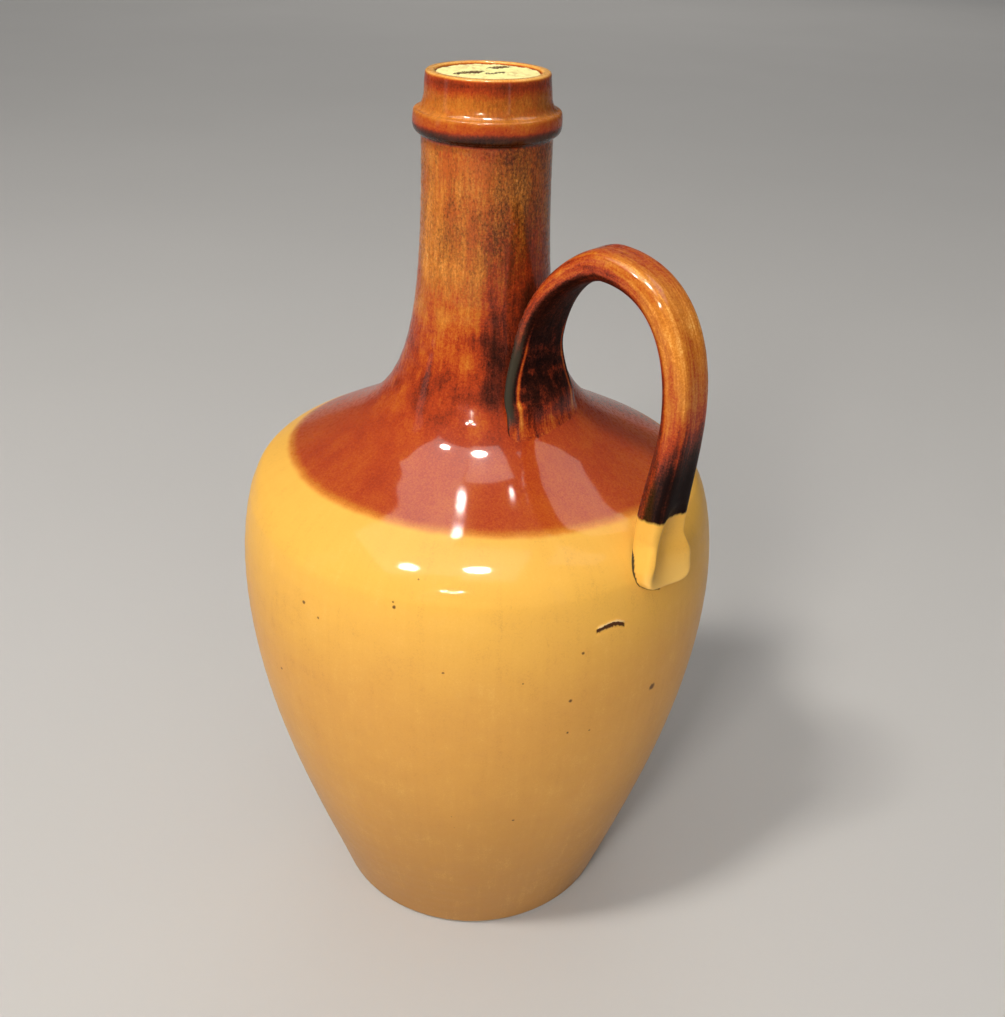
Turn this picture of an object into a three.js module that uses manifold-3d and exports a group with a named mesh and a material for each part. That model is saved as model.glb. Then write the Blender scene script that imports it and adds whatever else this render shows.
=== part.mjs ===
// Stoneware whiskey jug: two thrown sections luted on a level seam, a pulled strap handle and a cork.
// Millimetres, +Z up. The origin is the centre of the base, and the handle stands towards +X.
import * as THREE from 'three';
import { mergeVertices } from 'three/addons/utils/BufferGeometryUtils.js';
import Module from 'manifold-3d';

// Thrown wall, from the base up to the shoulder
const baseRadius = 42.4;
const heelRound = 1.6;
const wallLean = 16.3; // degrees from upright, just above the heel
const bellyRadius = 66;
const bellyHeight = 107.4;
const shoulderStep = 6.4; // how far the shoulder's turn lies inside the belly
const shoulderRise = 30.4; // from the belly up to the shoulder's turn
const shoulderSlope = 29.6; // degrees from level
const bodyWall = 7;
const floorThickness = 9;
const floorRound = 10;
const seamRise = 5.2; // from the shoulder's turn up to the luted seam

// Neck, collar ring and lip
const neckRise = 87.2; // from the shoulder's turn up to the underside of the collar
const boreRadius = 12.45;
const boreDepth = 35; // straight stretch of bore below the rim
const neckWall = 3.35;
const collarProud = 2;
const collarUnder = 4.2; // from the collar's underside up to its crest
const collarOver = 2.6; // from the crest up to the foot of the lip
const lipHeight = 8.2;
const lipWall = 2.3;
const lipTaper = 0.6;
const rimRound = 0.9;
const mouthRound = 0.8;

// Share of each span over which a curve of the wall keeps its end direction
const heelFullness = 0.22;
const bellyFullness = 0.37;
const haunchFullness = 0.52;
const turnFullness = 0.11;
const slopeFullness = 0.8;
const neckFullness = 0.82;

// The same share at the two ends of each curve of the strap
const rootFullness = 0.33;
const peelFullness = 0.54;
const archFullness = 0.15;
const crownFullness = 0.43;
const gripFullness = 0.46;
const dropFullness = 0.3;

// Strap handle: heights above the shoulder's turn, and distances along X
const smearRise = 20;
const rootRise = 27.5;
const peelRise = 41.7;
const apexRise = 66;
const apexReach = 20.5; // from the strap on the neck out to the top of the arch
const gripRise = 35; // height of the farthest point of the grip
const gripBow = 3; // how far the grip bows out past the terminal
const terminalRise = 3.7;
const terminalStandOff = 1.6; // strap's middle beyond the shoulder's turn
const tipDrop = 11;
const tipRound = 6.5;
const tipStandOff = 0.5; // strap's middle at the tip beyond the wall
const rootWidth = 21.5;
const gripWidth = 11.8;
const terminalWidth = 13.3;
const tipWidth = 18.5;
const rootThickness = 4.4;
const peelThickness = 5.1;
const gripThickness = 8.1;
const rootWrap = 2; // how far the strap's edges bend round the neck
const rootSink = 1; // how far the strap is pressed into the neck
const peelSink = 0.4;
const channelDepth = 0.5;
const rootSquareness = 1.9; // exponent of the section's rounded outline: thin edges on the neck,
const gripSquareness = 2.6; // a rounded grip
const tipSquareness = 4; // and crisp edges at the pressed end
const peelLean = 9.6; // degrees from upright, where the strap leaves the neck
const tipKick = 6; // degrees from upright, where the pressed end flares out
const thumbWidth = 18;
const thumbLength = 26;
const thumbDepth = 4.1; // of the print, below the strap's face at the tip
const thumbShift = 0.3; // the print lies a little off the middle of the strap
const thumbRise = 3.7; // middle of the print above the start of the tip's rounding
const luteGap = 0.3; // layer of slip between the handle and the wall

// Cork
const corkLength = 32;
const corkTaper = 1.1;
const corkSunk = 0.6; // top of the cork below the rim
const corkChamfer = 0.6;
const corkClearance = 0.3;

// Facets
const turnSegments = 48;
const lowerSteps = 10;
const haunchSteps = 9;
const shoulderSteps = 2;
const neckSteps = 16;
const innerLowerSteps = 8;
const innerHaunchSteps = 6;
const innerShoulderSteps = 4;
const boreSteps = 12;
const heelSteps = 3;
const floorSteps = 4;
const collarSteps = 5;
const strapSteps = 8;
const sectionSides = 24;
const tipSteps = 5;
const tipSweep = 0.45 * Math.PI; // the tip's rounding stops just short of a quarter turn
const thumbSegments = 28;
const thumbRings = 20;
const weldDistance = 1e-4;
const shareTolerance = 1e-9;

// Levels and radii that follow from the driving sizes
const shoulderHeight = bellyHeight + shoulderRise;
const shoulderRadius = bellyRadius - shoulderStep;
const seamHeight = shoulderHeight + seamRise;
const collarHeight = shoulderHeight + neckRise;
const crestHeight = collarHeight + collarUnder;
const lipFootHeight = crestHeight + collarOver;
const rimHeight = lipFootHeight + lipHeight;
const neckRadius = boreRadius + neckWall;
const lipRadius = boreRadius + lipWall;
const radians = THREE.MathUtils.degToRad;

const wasm = await Module();
wasm.setup();

const at = (x, y) => new THREE.Vector2(x, y);
const along = (start, direction, length) => start.clone().addScaledVector(direction, length);

// The wall as three curves: lower wall, haunch, and the sweep up the shoulder into the neck.
// An inset of 0 gives the outside, and the wall's thickness gives the inside.
function wallCurves(inset, throatRadius, throatHeight) {
  const lean = at(Math.sin(radians(wallLean)), Math.cos(radians(wallLean)));
  const slope = at(-Math.cos(radians(shoulderSlope)), Math.sin(radians(shoulderSlope)));
  const inward = at(-slope.y, slope.x);
  const up = at(0, 1);
  const heel = at(baseRadius - inset, 0);
  const belly = at(bellyRadius - inset, bellyHeight);
  const turn = along(at(shoulderRadius, shoulderHeight), inward, inset);
  const throat = at(throatRadius, throatHeight);
  const haunchSpan = turn.y - belly.y;
  const slopeSpan = (turn.x - throat.x) / -slope.x;
  return {
    lower: new THREE.CubicBezierCurve(
      heel,
      along(heel, lean, heelFullness * bellyHeight),
      along(belly, up, -bellyFullness * bellyHeight),
      belly,
    ),
    haunch: new THREE.CubicBezierCurve(
      belly,
      along(belly, up, haunchFullness * haunchSpan),
      along(turn, slope, -turnFullness * haunchSpan),
      turn,
    ),
    sweep: new THREE.CubicBezierCurve(
      turn,
      along(turn, slope, slopeFullness * slopeSpan),
      along(throat, up, -neckFullness * (throat.y - turn.y)),
      throat,
    ),
  };
}

const outside = wallCurves(0, neckRadius, collarHeight);
const inside = wallCurves(bodyWall, boreRadius, rimHeight - boreDepth);

// Share of a rising curve at which it reaches a height
function shareAt(curve, height) {
  let low = 0;
  let high = 1;
  while (high - low > shareTolerance) {
    const middle = (low + high) / 2;
    if (curve.getPoint(middle).y < height) low = middle;
    else high = middle;
  }
  return low;
}

// Points of a curve between two shares of it, both ends included
function stretch(curve, from, to, steps) {
  return Array.from({ length: steps + 1 }, (_, i) => curve.getPoint(from + ((to - from) * i) / steps));
}

// Radius of the outside at a height, and the way that the wall climbs there
function outerWallAt(height) {
  const curve = [outside.lower, outside.haunch, outside.sweep].find((piece) => piece.v3.y >= height);
  const share = shareAt(curve, height);
  return { radius: curve.getPoint(share).x, climb: curve.getTangent(share) };
}

// A full turn about Z of an outline whose second coordinate is the height
function turned(points) {
  return mergeClean(new THREE.LatheGeometry(points, turnSegments).rotateX(Math.PI / 2));
}

function mergeClean(geometry) {
  geometry.deleteAttribute('normal');
  geometry.deleteAttribute('uv');
  const merged = mergeVertices(geometry, weldDistance);
  merged.computeVertexNormals();
  return merged;
}

// Outer points below and above the seam, shared by the walls and the handle's seats
const outerSeamShare = shareAt(outside.sweep, seamHeight);
const innerSeamShare = shareAt(inside.sweep, seamHeight);
const outerHaunch = stretch(outside.haunch, 0, 1, haunchSteps);
const outerShoulder = stretch(outside.sweep, 0, outerSeamShare, shoulderSteps);
const outerNeck = stretch(outside.sweep, outerSeamShare, 1, neckSteps);
outerShoulder.at(-1).y = seamHeight;
outerNeck[0].y = seamHeight;

function lowerBody() {
  const heelShare = shareAt(outside.lower, heelRound);
  const floorShare = shareAt(inside.lower, floorThickness + floorRound);
  const floorEdge = inside.lower.getPoint(floorShare);
  const floorCorner = at(inside.lower.getPoint(shareAt(inside.lower, floorThickness)).x, floorThickness);
  const innerWall = [
    ...stretch(inside.lower, floorShare, 1, innerLowerSteps),
    ...stretch(inside.haunch, 0, 1, innerHaunchSteps).slice(1),
    ...stretch(inside.sweep, 0, innerSeamShare, innerShoulderSteps).slice(1),
  ];
  innerWall.at(-1).y = seamHeight;
  const outline = new THREE.Path().moveTo(0, 0).lineTo(baseRadius - heelRound, 0);
  const heelTop = outside.lower.getPoint(heelShare);
  outline.quadraticCurveTo(baseRadius, 0, heelTop.x, heelTop.y);
  const floorRim = at(floorCorner.x - floorRound, floorThickness);
  const floor = new THREE.QuadraticBezierCurve(floorEdge, floorCorner, floorRim);
  return turned([
    ...outline.getPoints(heelSteps),
    ...stretch(outside.lower, heelShare, 1, lowerSteps).slice(1),
    ...outerHaunch.slice(1),
    ...outerShoulder.slice(1),
    ...innerWall.reverse(),
    ...floor.getPoints(floorSteps).slice(1),
    at(0, floorThickness),
  ]);
}

function topSection() {
  const collarRadius = neckRadius + collarProud;
  const lipFoot = lipRadius + lipTaper;
  const rim = new THREE.Path()
    .moveTo(neckRadius, collarHeight)
    .quadraticCurveTo(collarRadius, collarHeight, collarRadius, crestHeight)
    .quadraticCurveTo(collarRadius, lipFootHeight, lipFoot, lipFootHeight)
    .lineTo(lipRadius, rimHeight - rimRound)
    .quadraticCurveTo(lipRadius, rimHeight, lipRadius - rimRound, rimHeight)
    .lineTo(boreRadius + mouthRound, rimHeight)
    .quadraticCurveTo(boreRadius, rimHeight, boreRadius, rimHeight - mouthRound);
  const bore = stretch(inside.sweep, innerSeamShare, 1, boreSteps);
  bore[0].y = seamHeight;
  return turned([
    ...outerNeck,
    ...rim.getPoints(collarSteps).slice(1),
    ...bore.reverse(),
    outerNeck[0],
  ]);
}

function cork() {
  const top = rimHeight - corkSunk;
  const bottom = top - corkLength;
  const topRadius = boreRadius - corkClearance;
  const bottomRadius = topRadius - corkTaper;
  return turned([
    at(0, bottom),
    at(bottomRadius - corkChamfer, bottom),
    at(bottomRadius, bottom + corkChamfer),
    at(topRadius, top - corkLength / 2),
    at(topRadius, top - corkChamfer),
    at(topRadius - corkChamfer, top),
    at(0, top),
  ]);
}

// The strap's stations, from the smear on the neck over the arch to the thumb-pressed end.
// Each has a point in the XZ plane, the direction of travel, how firmly the curve before it and
// the curve after it hold that direction, and the section there.
function strapStations() {
  const level = (rise) => shoulderHeight + rise;
  const onWall = (rise, proud) => at(outerWallAt(level(rise)).radius + proud, level(rise));
  const upWall = (rise) => outerWallAt(level(rise)).climb;
  const fromUpright = (degrees) => at(Math.sin(radians(degrees)), Math.cos(radians(degrees)));
  const half = rootThickness / 2;
  const peelPoint = onWall(peelRise, half - peelSink);
  const terminalPoint = at(shoulderRadius + terminalStandOff, level(terminalRise));
  const root = {
    width: rootWidth,
    thickness: rootThickness,
    wrap: rootWrap,
    channel: 0,
    squareness: rootSquareness,
  };
  const grip = {
    width: gripWidth,
    thickness: gripThickness,
    wrap: 0,
    channel: channelDepth,
    squareness: gripSquareness,
  };
  const peel = {
    width: (rootWidth + gripWidth) / 2,
    thickness: peelThickness,
    wrap: 0,
    channel: channelDepth / 2,
    squareness: (rootSquareness + gripSquareness) / 2,
  };
  return [
    {
      point: onWall(smearRise, -half),
      heading: upWall(smearRise),
      leave: rootFullness,
      section: root,
    },
    {
      point: onWall(rootRise, half - rootSink),
      heading: upWall(rootRise),
      arrive: rootFullness,
      leave: rootFullness,
      section: root,
    },
    {
      point: peelPoint,
      heading: fromUpright(peelLean),
      arrive: rootFullness,
      leave: peelFullness,
      section: peel,
    },
    {
      point: at(peelPoint.x + apexReach, level(apexRise)),
      heading: fromUpright(90),
      arrive: archFullness,
      leave: crownFullness,
      section: grip,
    },
    {
      point: at(terminalPoint.x + gripBow, level(gripRise)),
      heading: fromUpright(180),
      arrive: gripFullness,
      leave: dropFullness,
      section: grip,
    },
    {
      point: terminalPoint,
      heading: fromUpright(180),
      arrive: dropFullness,
      leave: rootFullness,
      section: { ...grip, width: terminalWidth, squareness: tipSquareness },
    },
    {
      point: onWall(tipRound - tipDrop, tipStandOff),
      heading: fromUpright(180 - tipKick),
      arrive: rootFullness,
      section: { ...grip, width: tipWidth, channel: 0, squareness: tipSquareness },
    },
  ];
}

// Rounded outline of the strap: across is along Y, and off is towards the outside of the arch
function strapSection({ width, thickness, wrap, channel, squareness }) {
  const power = (value) => Math.sign(value) * Math.abs(value) ** (2 / squareness);
  return Array.from({ length: sectionSides }, (_, i) => {
    const angle = (2 * Math.PI * i) / sectionSides;
    const across = (width / 2) * power(Math.cos(angle));
    const crown = (thickness / 2) * power(Math.sin(angle));
    const hollow = crown > 0 ? channel * Math.cos((Math.PI * across) / width) ** 2 : 0;
    const bend = wrap * ((2 * across) / width) ** 2;
    return { across, off: crown - hollow + bend };
  });
}

// The section part of the way from one to the next
function between(from, to, share) {
  const eased = THREE.MathUtils.smoothstep(share, 0, 1);
  const mixed = (key) => [key, THREE.MathUtils.lerp(from[key], to[key], eased)];
  return Object.fromEntries(Object.keys(from).map(mixed));
}

// Rings of the strap between its stations, and the rounded end below the last one
function strapRings() {
  const stations = strapStations();
  const rings = [];
  const ring = (point, heading, section) => {
    const place = ({ across, off }) => (
      new THREE.Vector3(point.x - off * heading.y, across, point.y + off * heading.x)
    );
    rings.push(strapSection(section).map(place));
  };
  for (let i = 0; i + 1 < stations.length; i += 1) {
    const [from, to] = [stations[i], stations[i + 1]];
    const span = from.point.distanceTo(to.point);
    const curve = new THREE.CubicBezierCurve(
      from.point,
      along(from.point, from.heading, from.leave * span),
      along(to.point, to.heading, -to.arrive * span),
      to.point,
    );
    for (let step = i === 0 ? 0 : 1; step <= strapSteps; step += 1) {
      const share = step / strapSteps;
      ring(curve.getPoint(share), curve.getTangent(share), between(from.section, to.section, share));
    }
  }
  const end = stations.at(-1);
  for (let step = 1; step <= tipSteps; step += 1) {
    const angle = (tipSweep * step) / tipSteps;
    const width = end.section.width * Math.cos(angle);
    ring(along(end.point, end.heading, tipRound * Math.sin(angle)), end.heading, { ...end.section, width });
  }
  return rings;
}

// A closed skin over rings that all have the same number of points
function loft(rings) {
  const sides = rings[0].length;
  const index = [];
  const place = (row, side) => row * sides + (side % sides);
  for (let row = 0; row + 1 < rings.length; row += 1) {
    for (let side = 0; side < sides; side += 1) {
      const [a, b] = [place(row, side), place(row, side + 1)];
      const [c, d] = [place(row + 1, side), place(row + 1, side + 1)];
      index.push(a, b, d, a, d, c);
    }
  }
  for (let side = 1; side + 1 < sides; side += 1) {
    const last = rings.length - 1;
    index.push(place(0, 0), place(0, side + 1), place(0, side));
    index.push(place(last, 0), place(last, side), place(last, side + 1));
  }
  const geometry = new THREE.BufferGeometry().setFromPoints(rings.flat());
  geometry.setIndex(index);
  return geometry;
}

// The outside of the wall, grown by the layer of slip, as a plug that cuts the handle's seats
function seatPlug() {
  const wall = [...outerHaunch, ...outerShoulder.slice(1), ...outerNeck.slice(1)];
  const grown = wall.map((point, i) => {
    const before = wall[Math.max(i - 1, 0)];
    const after = wall[Math.min(i + 1, wall.length - 1)];
    const travel = after.clone().sub(before).normalize();
    return along(point, at(travel.y, -travel.x), luteGap);
  });
  return turned([at(0, grown[0].y), ...grown, at(0, grown.at(-1).y)]);
}

function thumbPrint() {
  const tip = strapStations().at(-1).point;
  const face = tip.x + gripThickness / 2;
  const ball = new THREE.SphereGeometry(1, thumbSegments, thumbRings);
  ball.scale(thumbWidth / 2, thumbWidth / 2, thumbLength / 2);
  ball.translate(face + thumbWidth / 2 - thumbDepth, thumbShift, tip.y + thumbRise);
  return mergeClean(ball);
}

function solidOf(geometry) {
  const vertProperties = new Float32Array(geometry.getAttribute('position').array);
  const triVerts = new Uint32Array(geometry.getIndex().array);
  return new wasm.Manifold(new wasm.Mesh({ numProp: 3, vertProperties, triVerts }));
}

function geometryOf(solid) {
  const { vertProperties, triVerts } = solid.getMesh();
  const geometry = new THREE.BufferGeometry();
  geometry.setAttribute('position', new THREE.BufferAttribute(new Float32Array(vertProperties), 3));
  geometry.setIndex(new THREE.BufferAttribute(new Uint32Array(triVerts), 1));
  geometry.computeVertexNormals();
  return geometry;
}

function handle() {
  const strap = solidOf(loft(strapRings()));
  return geometryOf(strap.subtract(solidOf(seatPlug())).subtract(solidOf(thumbPrint())));
}

function piece(name, geometry, color, roughness) {
  const material = new THREE.MeshStandardMaterial({ color, roughness, metalness: 0 });
  const mesh = new THREE.Mesh(geometry, material);
  mesh.name = name;
  return mesh;
}

const jug = new THREE.Group();
jug.add(
  piece('lower_body', lowerBody(), '#cf9c52', 0.25),
  piece('top_section', topSection(), '#7d3a19', 0.2),
  piece('handle', handle(), '#8f4519', 0.2),
  piece('cork', cork(), '#b98d5e', 0.85),
);

export default jug;
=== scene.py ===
"""Glazed stoneware whiskey jug with a strap handle and a cork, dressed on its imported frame.

The pieces are modelled at their real size in millimetres and become metres as they are made objects.
"""

import bisect
import logging
import math
from collections.abc import Iterable, Mapping, Sequence
from dataclasses import dataclass, fields, replace
from enum import Enum
from functools import cached_property
from itertools import accumulate
from typing import Any, ClassVar, NamedTuple

import bmesh
import bpy
from mathutils import Matrix, Vector, noise


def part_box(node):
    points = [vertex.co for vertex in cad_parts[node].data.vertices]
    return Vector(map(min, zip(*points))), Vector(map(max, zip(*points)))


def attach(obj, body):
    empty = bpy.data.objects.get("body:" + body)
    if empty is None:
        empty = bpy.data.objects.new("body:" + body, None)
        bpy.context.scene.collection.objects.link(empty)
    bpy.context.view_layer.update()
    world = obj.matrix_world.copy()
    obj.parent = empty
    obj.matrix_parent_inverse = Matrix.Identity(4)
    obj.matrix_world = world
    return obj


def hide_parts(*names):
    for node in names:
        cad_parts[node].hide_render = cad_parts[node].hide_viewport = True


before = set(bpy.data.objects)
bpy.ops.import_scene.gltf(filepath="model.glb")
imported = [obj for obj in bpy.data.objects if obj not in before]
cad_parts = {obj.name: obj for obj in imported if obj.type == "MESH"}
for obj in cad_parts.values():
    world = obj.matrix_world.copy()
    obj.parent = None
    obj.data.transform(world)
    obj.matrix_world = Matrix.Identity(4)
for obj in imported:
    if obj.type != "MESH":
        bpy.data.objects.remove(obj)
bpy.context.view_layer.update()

log = logging.getLogger("jug")

MILLIMETRE = 0.001
# Points closer than this, in millimetres, become one
WELD = 1e-5
# Decimals to which two places of an outline have to agree
MATCH_DECIMALS = 3
# Halvings in the search for a height on a curve
SEARCH_STEPS = 40
TURN_SEGMENTS = 240
CAMERA_AZIMUTH = 43.94

Colour = tuple[float, float, float]
Span = tuple[float, float]
Levels = tuple[tuple[float, float], ...]


def box_mm(node: str) -> tuple[Vector, Vector]:
    """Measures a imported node.

    Args:
        node: Name of the node in the frame.

    Returns:
        Its lowest and highest corner in millimetres.
    """
    low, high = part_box(node)
    return low / MILLIMETRE, high / MILLIMETRE


def smooth_step(low: float, high: float, value: float) -> float:
    """Returns how far a value has risen from low to high, eased, from 0 to 1."""
    share = min(max((value - low) / (high - low), 0.0), 1.0)
    return share * share * (3 - 2 * share)


def soft_max(first: float, second: float, radius: float) -> float:
    """Returns the larger of two lengths, rounded over where they are within a radius of each other."""
    overlap = max(radius - abs(first - second), 0.0) / radius
    return max(first, second) + overlap * overlap * radius / 4


def facing(azimuth: float) -> Vector:
    """Returns the level direction at an azimuth in degrees, which is 0 at -Y and 90 at +X."""
    turn = math.radians(azimuth)
    return Vector((math.sin(turn), -math.cos(turn), 0))


@dataclass(frozen=True)
class Curve:
    """A cubic curve in the XZ plane, where x is a radius and z a height."""

    start: Vector
    leave: Vector
    arrive: Vector
    end: Vector

    def at(self, share: float) -> Vector:
        """Follows the curve.

        Args:
            share: Share of the curve, from 0 to 1.

        Returns:
            The point there.
        """
        rest = 1 - share
        return (
            self.start * rest**3
            + self.leave * (3 * rest * rest * share)
            + self.arrive * (3 * rest * share * share)
            + self.end * share**3
        )

    def heading(self, share: float) -> Vector:
        """Finds the direction of travel.

        Args:
            share: Share of the curve, from 0 to 1.

        Returns:
            The direction there, of length 1.
        """
        rest = 1 - share
        return (
            (self.leave - self.start) * (rest * rest)
            + (self.arrive - self.leave) * (2 * rest * share)
            + (self.end - self.arrive) * (share * share)
        ).normalized()

    def share_at(self, height: float) -> float:
        """Finds where the rising curve reaches a height.

        Args:
            height: The height, between those of the two ends.

        Returns:
            The share of the curve there.
        """
        low, high = 0.0, 1.0
        for _ in range(SEARCH_STEPS):
            middle = (low + high) / 2
            if self.at(middle).z < height:
                low = middle
            else:
                high = middle
        return low

    def points(self, steps: int, first: float = 0.0, last: float = 1.0) -> list[Vector]:
        """Returns points of the curve between two shares, both ends included."""
        return [self.at(first + (last - first) * step / steps) for step in range(steps + 1)]


def corner(start: Vector, bend: Vector, end: Vector, steps: int, fullness: float = 2 / 3) -> list[Vector]:
    """Returns points of a rounded corner.

    Args:
        start: Where the rounding begins.
        bend: The sharp corner that it replaces.
        end: Where the rounding ends.
        steps: Number of stretches.
        fullness: How far the rounding reaches towards the sharp corner, up to 1.

    Returns:
        The points, without the start.
    """
    curve = Curve(start, start.lerp(bend, fullness), end.lerp(bend, fullness), end)
    return curve.points(steps)[1:]


def spot(radius: float, height: float) -> Vector:
    """Returns a point of a turned outline."""
    return Vector((radius, 0, height))


def spread(start: Vector, end: Vector, steps: int) -> list[Vector]:
    """Returns evenly spread points of a straight stretch, both ends included."""
    return [start.lerp(end, step / steps) for step in range(steps + 1)]


@dataclass(frozen=True)
class ThrownWall:
    """The jug's wall as it was thrown: its curves outside and inside, in millimetres."""

    belly_radius: float
    seam_height: float
    rim_height: float
    base_radius: float = 42.4
    heel_round: float = 1.6
    wall_lean: float = 16.3
    belly_height: float = 107.4
    turn_radius: float = 59.6
    turn_height: float = 137.8
    shoulder_slope: float = 29.6
    thickness: float = 7.0
    floor_height: float = 9.0
    floor_round: float = 10.0
    neck_radius: float = 15.8
    bore_radius: float = 12.45
    bore_depth: float = 35.0
    collar_height: float = 225.0
    heel_fullness: float = 0.22
    belly_fullness: float = 0.37
    haunch_fullness: float = 0.52
    turn_fullness: float = 0.11
    slope_fullness: float = 0.8
    neck_fullness: float = 0.82
    ring_depth: float = 0.028
    ring_pitch: float = 4.6
    ring_patch: float = 26.0
    warp: float = 0.22
    warp_reach: float = 70.0
    marks_from: Span = (0.5, 12.0)
    front_azimuth: float = 42.0
    front_spread: Span = (-0.1, 0.8)
    front_ease: float = 5.0
    ease_samples: int = 4
    outline_steps: int = 160

    @classmethod
    def from_frame(cls) -> "ThrownWall":
        """Makes the wall whose belly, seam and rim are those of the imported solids.

        Returns:
            The wall.
        """
        lower = box_mm("lower_body")[1]
        top = box_mm("top_section")[1]
        return cls(belly_radius=lower.x, seam_height=lower.z, rim_height=top.z)

    def curves(self, inset: float, throat: Vector) -> tuple[Curve, Curve, Curve]:
        """Draws one face of the wall.

        Args:
            inset: How far inside the outer face the curves run.
            throat: Where the sweep ends.

        Returns:
            The lower wall, the haunch and the sweep up the shoulder into the neck.
        """
        lean = math.radians(self.wall_lean)
        slope = math.radians(self.shoulder_slope)
        up = Vector((0, 0, 1))
        climb = Vector((-math.cos(slope), 0, math.sin(slope)))
        inward = Vector((-climb.z, 0, climb.x))
        heel = spot(self.base_radius - inset, 0)
        belly = spot(self.belly_radius - inset, self.belly_height)
        turn = spot(self.turn_radius, self.turn_height) + inward * inset
        span = turn.z - belly.z
        reach = (turn.x - throat.x) / math.cos(slope)
        leave_heel = Vector((math.sin(lean), 0, math.cos(lean))) * (self.heel_fullness * self.belly_height)
        reach_belly = up * (self.belly_fullness * self.belly_height)
        lower = Curve(heel, heel + leave_heel, belly - reach_belly, belly)
        haunch = Curve(
            belly,
            belly + up * (self.haunch_fullness * span),
            turn - climb * (self.turn_fullness * span),
            turn,
        )
        sweep = Curve(
            turn,
            turn + climb * (self.slope_fullness * reach),
            throat - up * (self.neck_fullness * (throat.z - turn.z)),
            throat,
        )
        return lower, haunch, sweep

    @cached_property
    def outside(self) -> tuple[Curve, Curve, Curve]:
        """The curves of the outer face."""
        return self.curves(0, spot(self.neck_radius, self.collar_height))

    @cached_property
    def inside(self) -> tuple[Curve, Curve, Curve]:
        """The curves of the inner face."""
        return self.curves(self.thickness, spot(self.bore_radius, self.rim_height - self.bore_depth))

    @cached_property
    def outline(self) -> list[Vector]:
        """Close points of the outer face from the base to the collar."""
        return [point for curve in self.outside for point in curve.points(self.outline_steps)[1:]]

    def radius_at(self, height: float) -> float:
        """Measures the outer face.

        Args:
            height: The height, from the base to the collar.

        Returns:
            Its radius there.
        """
        place = bisect.bisect_left(self.outline, height, key=lambda point: point.z)
        place = min(max(place, 1), len(self.outline) - 1)
        below, above = self.outline[place - 1], self.outline[place]
        share = (height - below.z) / (above.z - below.z)
        return below.x + (above.x - below.x) * min(max(share, 0.0), 1.0)

    def face_at(self, azimuth: float, height: float) -> Vector:
        """Returns the point of the outer face at an azimuth and a height."""
        return facing(azimuth) * self.radius_at(height) + Vector((0, 0, height))

    def climb_at(self, height: float) -> Vector:
        """Returns the direction in which the outer face climbs at a height."""
        curve = next(curve for curve in self.outside if curve.end.z >= height)
        return curve.heading(curve.share_at(height))

    def throwing_marks(self, place: Vector) -> float:
        """Works out the potter's marks: finger lines, a slight warp and the eased turn.

        Args:
            place: A point near the outer face.

        Returns:
            How far the outer face stands out there.
        """
        turn = math.atan2(place.y, place.x)
        spiral = math.sin(2 * math.pi * place.z / self.ring_pitch + turn)
        patchy = 1 + noise.noise(place / self.ring_patch)
        warp = noise.noise(place / self.warp_reach) * self.warp
        grounded = smooth_step(*self.marks_from, place.z)
        return (self.ring_depth * spiral * patchy + warp) * grounded + self.eased_turn(place)

    def eased_turn(self, place: Vector) -> float:
        """Smooths the turn of the haunch rounder on the front.

        Args:
            place: A point near the outer face.

        Returns:
            The change of radius there.
        """
        if abs(place.z - self.turn_height) > self.front_ease:
            return 0.0
        level = Vector((place.x, place.y, 0)).normalized()
        front = smooth_step(*self.front_spread, level.dot(facing(self.front_azimuth)))
        half = self.ease_samples
        steps = [self.front_ease * (step / half - 1) for step in range(2 * half + 1)]
        mean = sum(self.radius_at(place.z + step) for step in steps) / len(steps)
        return (mean - self.radius_at(place.z)) * front

    def throw(self, mesh: bmesh.types.BMesh) -> None:
        """Moves the outer points of a turned mesh by the throwing marks.

        Args:
            mesh: The mesh, whose point layer "inside" is 1 on the inner face.
        """
        inside = mesh.verts.layers.float["inside"]
        for vert in mesh.verts:
            radius = math.hypot(vert.co.x, vert.co.y)
            if vert[inside] < 0.5 and radius > self.neck_radius / 2:
                grown = 1 + self.throwing_marks(vert.co) / radius
                vert.co.x *= grown
                vert.co.y *= grown


def turned(
    outline: Sequence[Vector],
    inner: Iterable[Vector],
    segments: int = TURN_SEGMENTS,
) -> bmesh.types.BMesh:
    """Spins an outline once round the Z axis.

    Args:
        outline: Points of the outline, which ends on the axis or where it began.
        inner: Points that lie on the inner face.
        segments: Number of steps in the turn.

    Returns:
        A closed mesh with the point layer "inside".
    """
    mesh = bmesh.new()
    layer = mesh.verts.layers.float.new("inside")
    chain = [mesh.verts.new(point) for point in outline]
    edges = [mesh.edges.new(pair) for pair in zip(chain, chain[1:])]
    bmesh.ops.spin(
        mesh,
        geom=chain + edges,
        cent=(0, 0, 0),
        axis=(0, 0, 1),
        angle=2 * math.pi,
        steps=segments,
        use_merge=True,
    )
    bmesh.ops.remove_doubles(mesh, verts=mesh.verts, dist=WELD)
    bmesh.ops.recalc_face_normals(mesh, faces=mesh.faces)
    marked = {(round(point.x, MATCH_DECIMALS), round(point.z, MATCH_DECIMALS)) for point in inner}
    for vert in mesh.verts:
        radius = math.hypot(vert.co.x, vert.co.y)
        key = (round(radius, MATCH_DECIMALS), round(vert.co.z, MATCH_DECIMALS))
        vert[layer] = float(key in marked)
    return mesh


@dataclass(frozen=True)
class Cloud:
    """A cloudy pattern: its clouds to a millimetre, its finer layers and their strength."""

    scale: float
    detail: float = 2.0
    roughness: float = 0.5


@dataclass(frozen=True)
class Streak(Cloud):
    """A cloudy pattern that is drawn out one way, along which a share of the length is kept."""

    stretch: float = 0.1


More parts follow.
